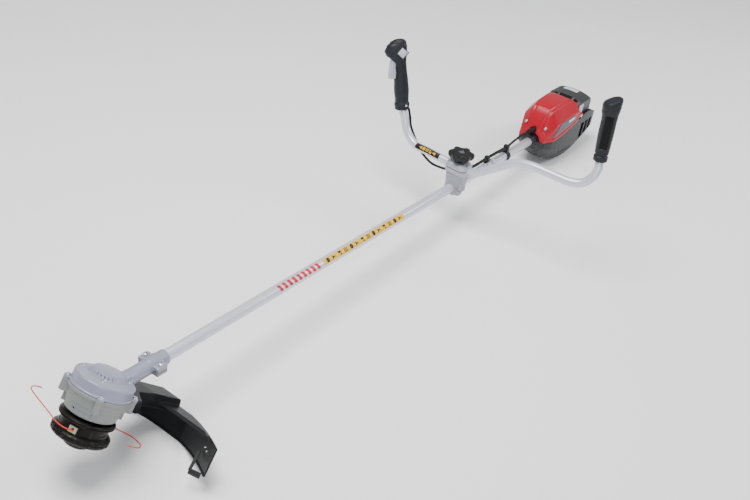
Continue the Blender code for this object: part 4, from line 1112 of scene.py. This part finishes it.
def lower_rings(inset, raised=0.0):
    rings = []
    rows = dense(LOWER, 2)
    for index, (x, w, top, side, wf, floor) in enumerate(rows):
        end = 1 if index == 0 else -1 if index == len(rows) - 1 else 0
        x, w, wf, floor = x - end * inset, w - inset, wf - inset * 0.6, floor + inset
        rim = top + raised if x > BATTERY_X[0] else top - inset
        rings.append([(x, -w, rim), (x, -w, side), (x, -wf, floor), (x, wf, floor), (x, w, side),
                      (x, w, rim)])
    return rings


def upper_rings(inset, lowered=0.0, band=0.0):
    """The red cover's section at each station. band raises the middle between two creases."""
    rings = []
    rows = dense(UPPER)
    for index, (x, w, low, shoulder, wr, roof) in enumerate(rows):
        end = 1 if index == 0 else -1 if index == len(rows) - 1 else 0
        x, w, wr = x - end * inset, w - inset, wr - inset * 0.6
        shoulder, roof = shoulder - inset * 0.6, roof - inset
        ring = [(x, -w, low - lowered), (x, w, low - lowered), (x, w, shoulder), (x, wr, roof)]
        if band:
            ring += [(x, wr - 9, roof - 0.6), (x, wr - 11.5, roof + band),
                     (x, -wr + 11.5, roof + band), (x, -wr + 9, roof - 0.6)]
        rings.append(ring + [(x, -wr, roof), (x, -w, shoulder)])
    return rings


def make_red_cover():
    skin = loft(upper_rings(0.0, -0.3, band=2.6))
    flange = []
    for side in (-1, 1):
        rows = []
        for x, w, low, shoulder, wr, roof in dense(UPPER):
            rows.append([(x, side * (w - 4), low + 0.4), (x, side * (w + 1.6), low + 0.4),
                         (x, side * (w + 1.6), low + 9), (x, side * (w - 4), low + 11)])
        flange.append(loft(rows))
    ears = pair((-592, 54, 47.5), (-558, 63.4, 59), 2.5)
    collar_room = along_x(28, -445, -385)
    cable_room = cylinder(6.5, (-385, 0, 37), (-440, 0, 37), 32)
    cast("red_cover_moulded", [skin, *flange, *ears], TOOL, "red_plastic", ["red_cover"],
         cuts=[loft(upper_rings(3.6, 30))], voxel=1.0, rounds=4,
         late_cuts=[collar_room, cable_room])
    lean = spin("Y", 62)
    for side, name in SIDES:
        seat = TOOL @ at(-417, side * 32, 46) @ lean
        well = lathe([(6.4, -1.5), (6.4, 1.6), (4.6, 2.1), (4.4, -1.5)], 40, 0.4)
        finished(f"cover_screw_seat_{name}", well, seat, "red_plastic")
        screw(f"cover_screw_front_{name}_head", seat @ at(0, 0, 0.4), 4.3, 3,
              [f"cover_screw_front_{name}"])
    lie = spin("X", -90)
    screw("cover_screw_rear_head", TOOL @ at(-579, 63, 53) @ lie, 4.3, 2.8, ["cover_screw_rear"])
    for side, name in SIDES:
        outline = (-503, 51), (-535, 54.5), (-537, 63.4), (-505, 59.6)
        rings = [[(x, side * ((60 if x > -520 else 61.6) + lift), z) for x, z in outline]
                 for lift in (0.6, 2.4)]
        finished(f"side_badge_{name}", softened(loft(rings), 0.4, 2), TOOL, "pale_print")


def make_cable_boot():
    route = [Vector(p) for p in ((-366, 0, 38.2), (-380, 0, 38), (-394, 0, 37.2), (-410, 0, 36.5))]
    sleeve = tube(route, lambda t: 4.4 + 3.6 * t, 32)
    lug = block((-409, -8, 26), (-396, 8, 43), 3)
    cast("cable_boot_moulded", [sleeve, lug], TOOL, "cable_rubber", voxel=0.6, rounds=3)


def make_rear_housing():
    shell = loft(lower_rings(0.0))
    hollow = room_behind_collar(loft(lower_rings(3.4, raised=30)))
    collar = loft([ring_x(-440, 27), ring_x(-424, 24.5), ring_x(-406, 21.5), ring_x(-396, 19.6),
                   ring_x(-392, 17.5)])
    ribs = [along_x(23 - 2.2 * i, -414 + 7 * i, -411 + 7 * i, 48) for i in range(2)]
    socket = along_x(TUBE_BORE, -436, -380)
    keel = loft([[(x, -wf * 0.45, floor + 6), (x, wf * 0.45, floor + 6),
                  (x, wf * 0.45, floor - 2.2), (x, -wf * 0.45, floor - 2.2)]
                 for x, w, top, side, wf, floor in LOWER[2:8]])
    late = [socket, block((-722, -24, -6), (-700, 24, 14), 1)]
    slant = spin("Y", 35)
    for side in (-1, 1):
        for i in range(6):
            slot = block((-2.3, side * 52 - 12, -9), (2.3, side * 52 + 12, 9), 1)
            late.append(moved(slot, at(-503 - 12 * i, 0, -46) @ slant))
        for i in range(3):
            x = -604 - 27 * i
            low = [(x, side * 46, -30 + 6 * i), (x, side * 72, -30 + 6 * i), (x, side * 72, 20),
                   (x, side * 46, 20)]
            high = [(x - 21, y, z) for _, y, z in low]
            late.append(loft([low, high]))
    cast("rear_housing_moulded", [shell, keel, collar, *ribs], TOOL, "charcoal", ["rear_housing"],
         cuts=[hollow], voxel=1.0, rounds=3, late_cuts=late)
    for side, name in SIDES:
        outline = (-598, -36), (-686, -16), (-686, 24), (-598, 24)
        inner = loft([[(x, side * y, z) for x, z in outline] for y in (50, 53)])
        finished(f"side_screen_{name}", softened(inner, 0.6, 2), TOOL, "panel_rubber")


def room_behind_collar(bm):
    """The housing's room starts behind the collar that holds the tube."""
    geom = bm.verts[:] + bm.edges[:] + bm.faces[:]
    cut = bmesh.ops.bisect_plane(bm, geom=geom, plane_co=(-441.5, 0, 0), plane_no=(1, 0, 0),
                                 clear_outer=True)
    rim = [e for e in cut["geom_cut"] if isinstance(e, bmesh.types.BMEdge)]
    bmesh.ops.contextual_create(bm, geom=rim)
    return bm


def battery_roof(y):
    return BATTERY_TOP - 9 * (abs(y) / 53) ** 2.6


def make_battery():
    x0, x1 = BATTERY_X
    rows = []
    for i in range(25):
        y = -53 + 106 * i / 24
        z = battery_roof(y)
        trim = 2.5 if i in (0, 24) else 0
        rows.append([(x0 + trim, y, -21), (x1 - trim, y, -21), (x1 - trim, y, z - 9),
                     (x1 - 9, y, z), (x0 + 9, y, z), (x0 + trim, y, z - 9)])
    pack = loft(rows)
    front = [block((x1 - 12, -20, 74), (x1 + 5, 20, 104), 1.5)]
    front += pair((x1 - 9, 27, 79), (x1 + 5, 41, 104), 2)
    grooves = pair((x0 - 5, 51.8, 60), (x1 + 5, 54.2, 62), 0.3)
    cast("battery_moulded", [pack], TOOL, "battery_plastic", ["battery"], "battery", cuts=front,
         voxel=0.9, rounds=4, late_cuts=grooves)
    label = []
    for i in range(13):
        y = -32 + 46 * i / 12
        z = battery_roof(y)
        label.append([(-641, y, z - 1), (-622, y, z - 1), (-622, y, z + 0.35), (-641, y, z + 0.35)])
    finished("battery_label", loft(label), TOOL, "pale_print", body="battery")
    for name, cheek in zip(("right", "left"), pair((-602, 51, 30), (-577, 54.2, 82), 1.5)):
        finished(f"battery_cheek_{name}", cheek, TOOL, "light_plastic", body="battery")
    half = (x1 - x0) / 2
    bar = block((half - 11.4, -19, 26.2), (half - 2, 19, 38), 2.4)
    ribs = [block((half - 4, y - 1, 28), (half - 1.4, y + 1, 36.4), 0.5)
            for y in (-12, -8, -4, 0, 4, 8, 12)]
    finished("battery_latch_moulded", merged([bar, *ribs]), BAY, "charcoal", ["battery_latch"],
             "latch")


# ---- CAD pieces that stay

def dress_kept_nodes():
    """Each kept node gets the first finish that is made for its slot."""
    first = {}
    for name, (slot, *_) in FINISHES.items():
        first.setdefault(slot, M[name])
    for node in frame["nodes"].values():
        for place in node.material_slots:
            place.material = first[place.material.name.split(".")[0]]


make_stage()
make_motor_cover()
make_motor_housing()
make_line_head()
make_guard()
make_shaft()
make_harness_hanger()
make_cable()
make_clamp()
make_clamp_gap_shade()
make_knob()
make_handlebar()
make_left_grip()
make_right_grip()
make_red_cover()
make_cable_boot()
make_rear_housing()
make_battery()
dress_kept_nodes()
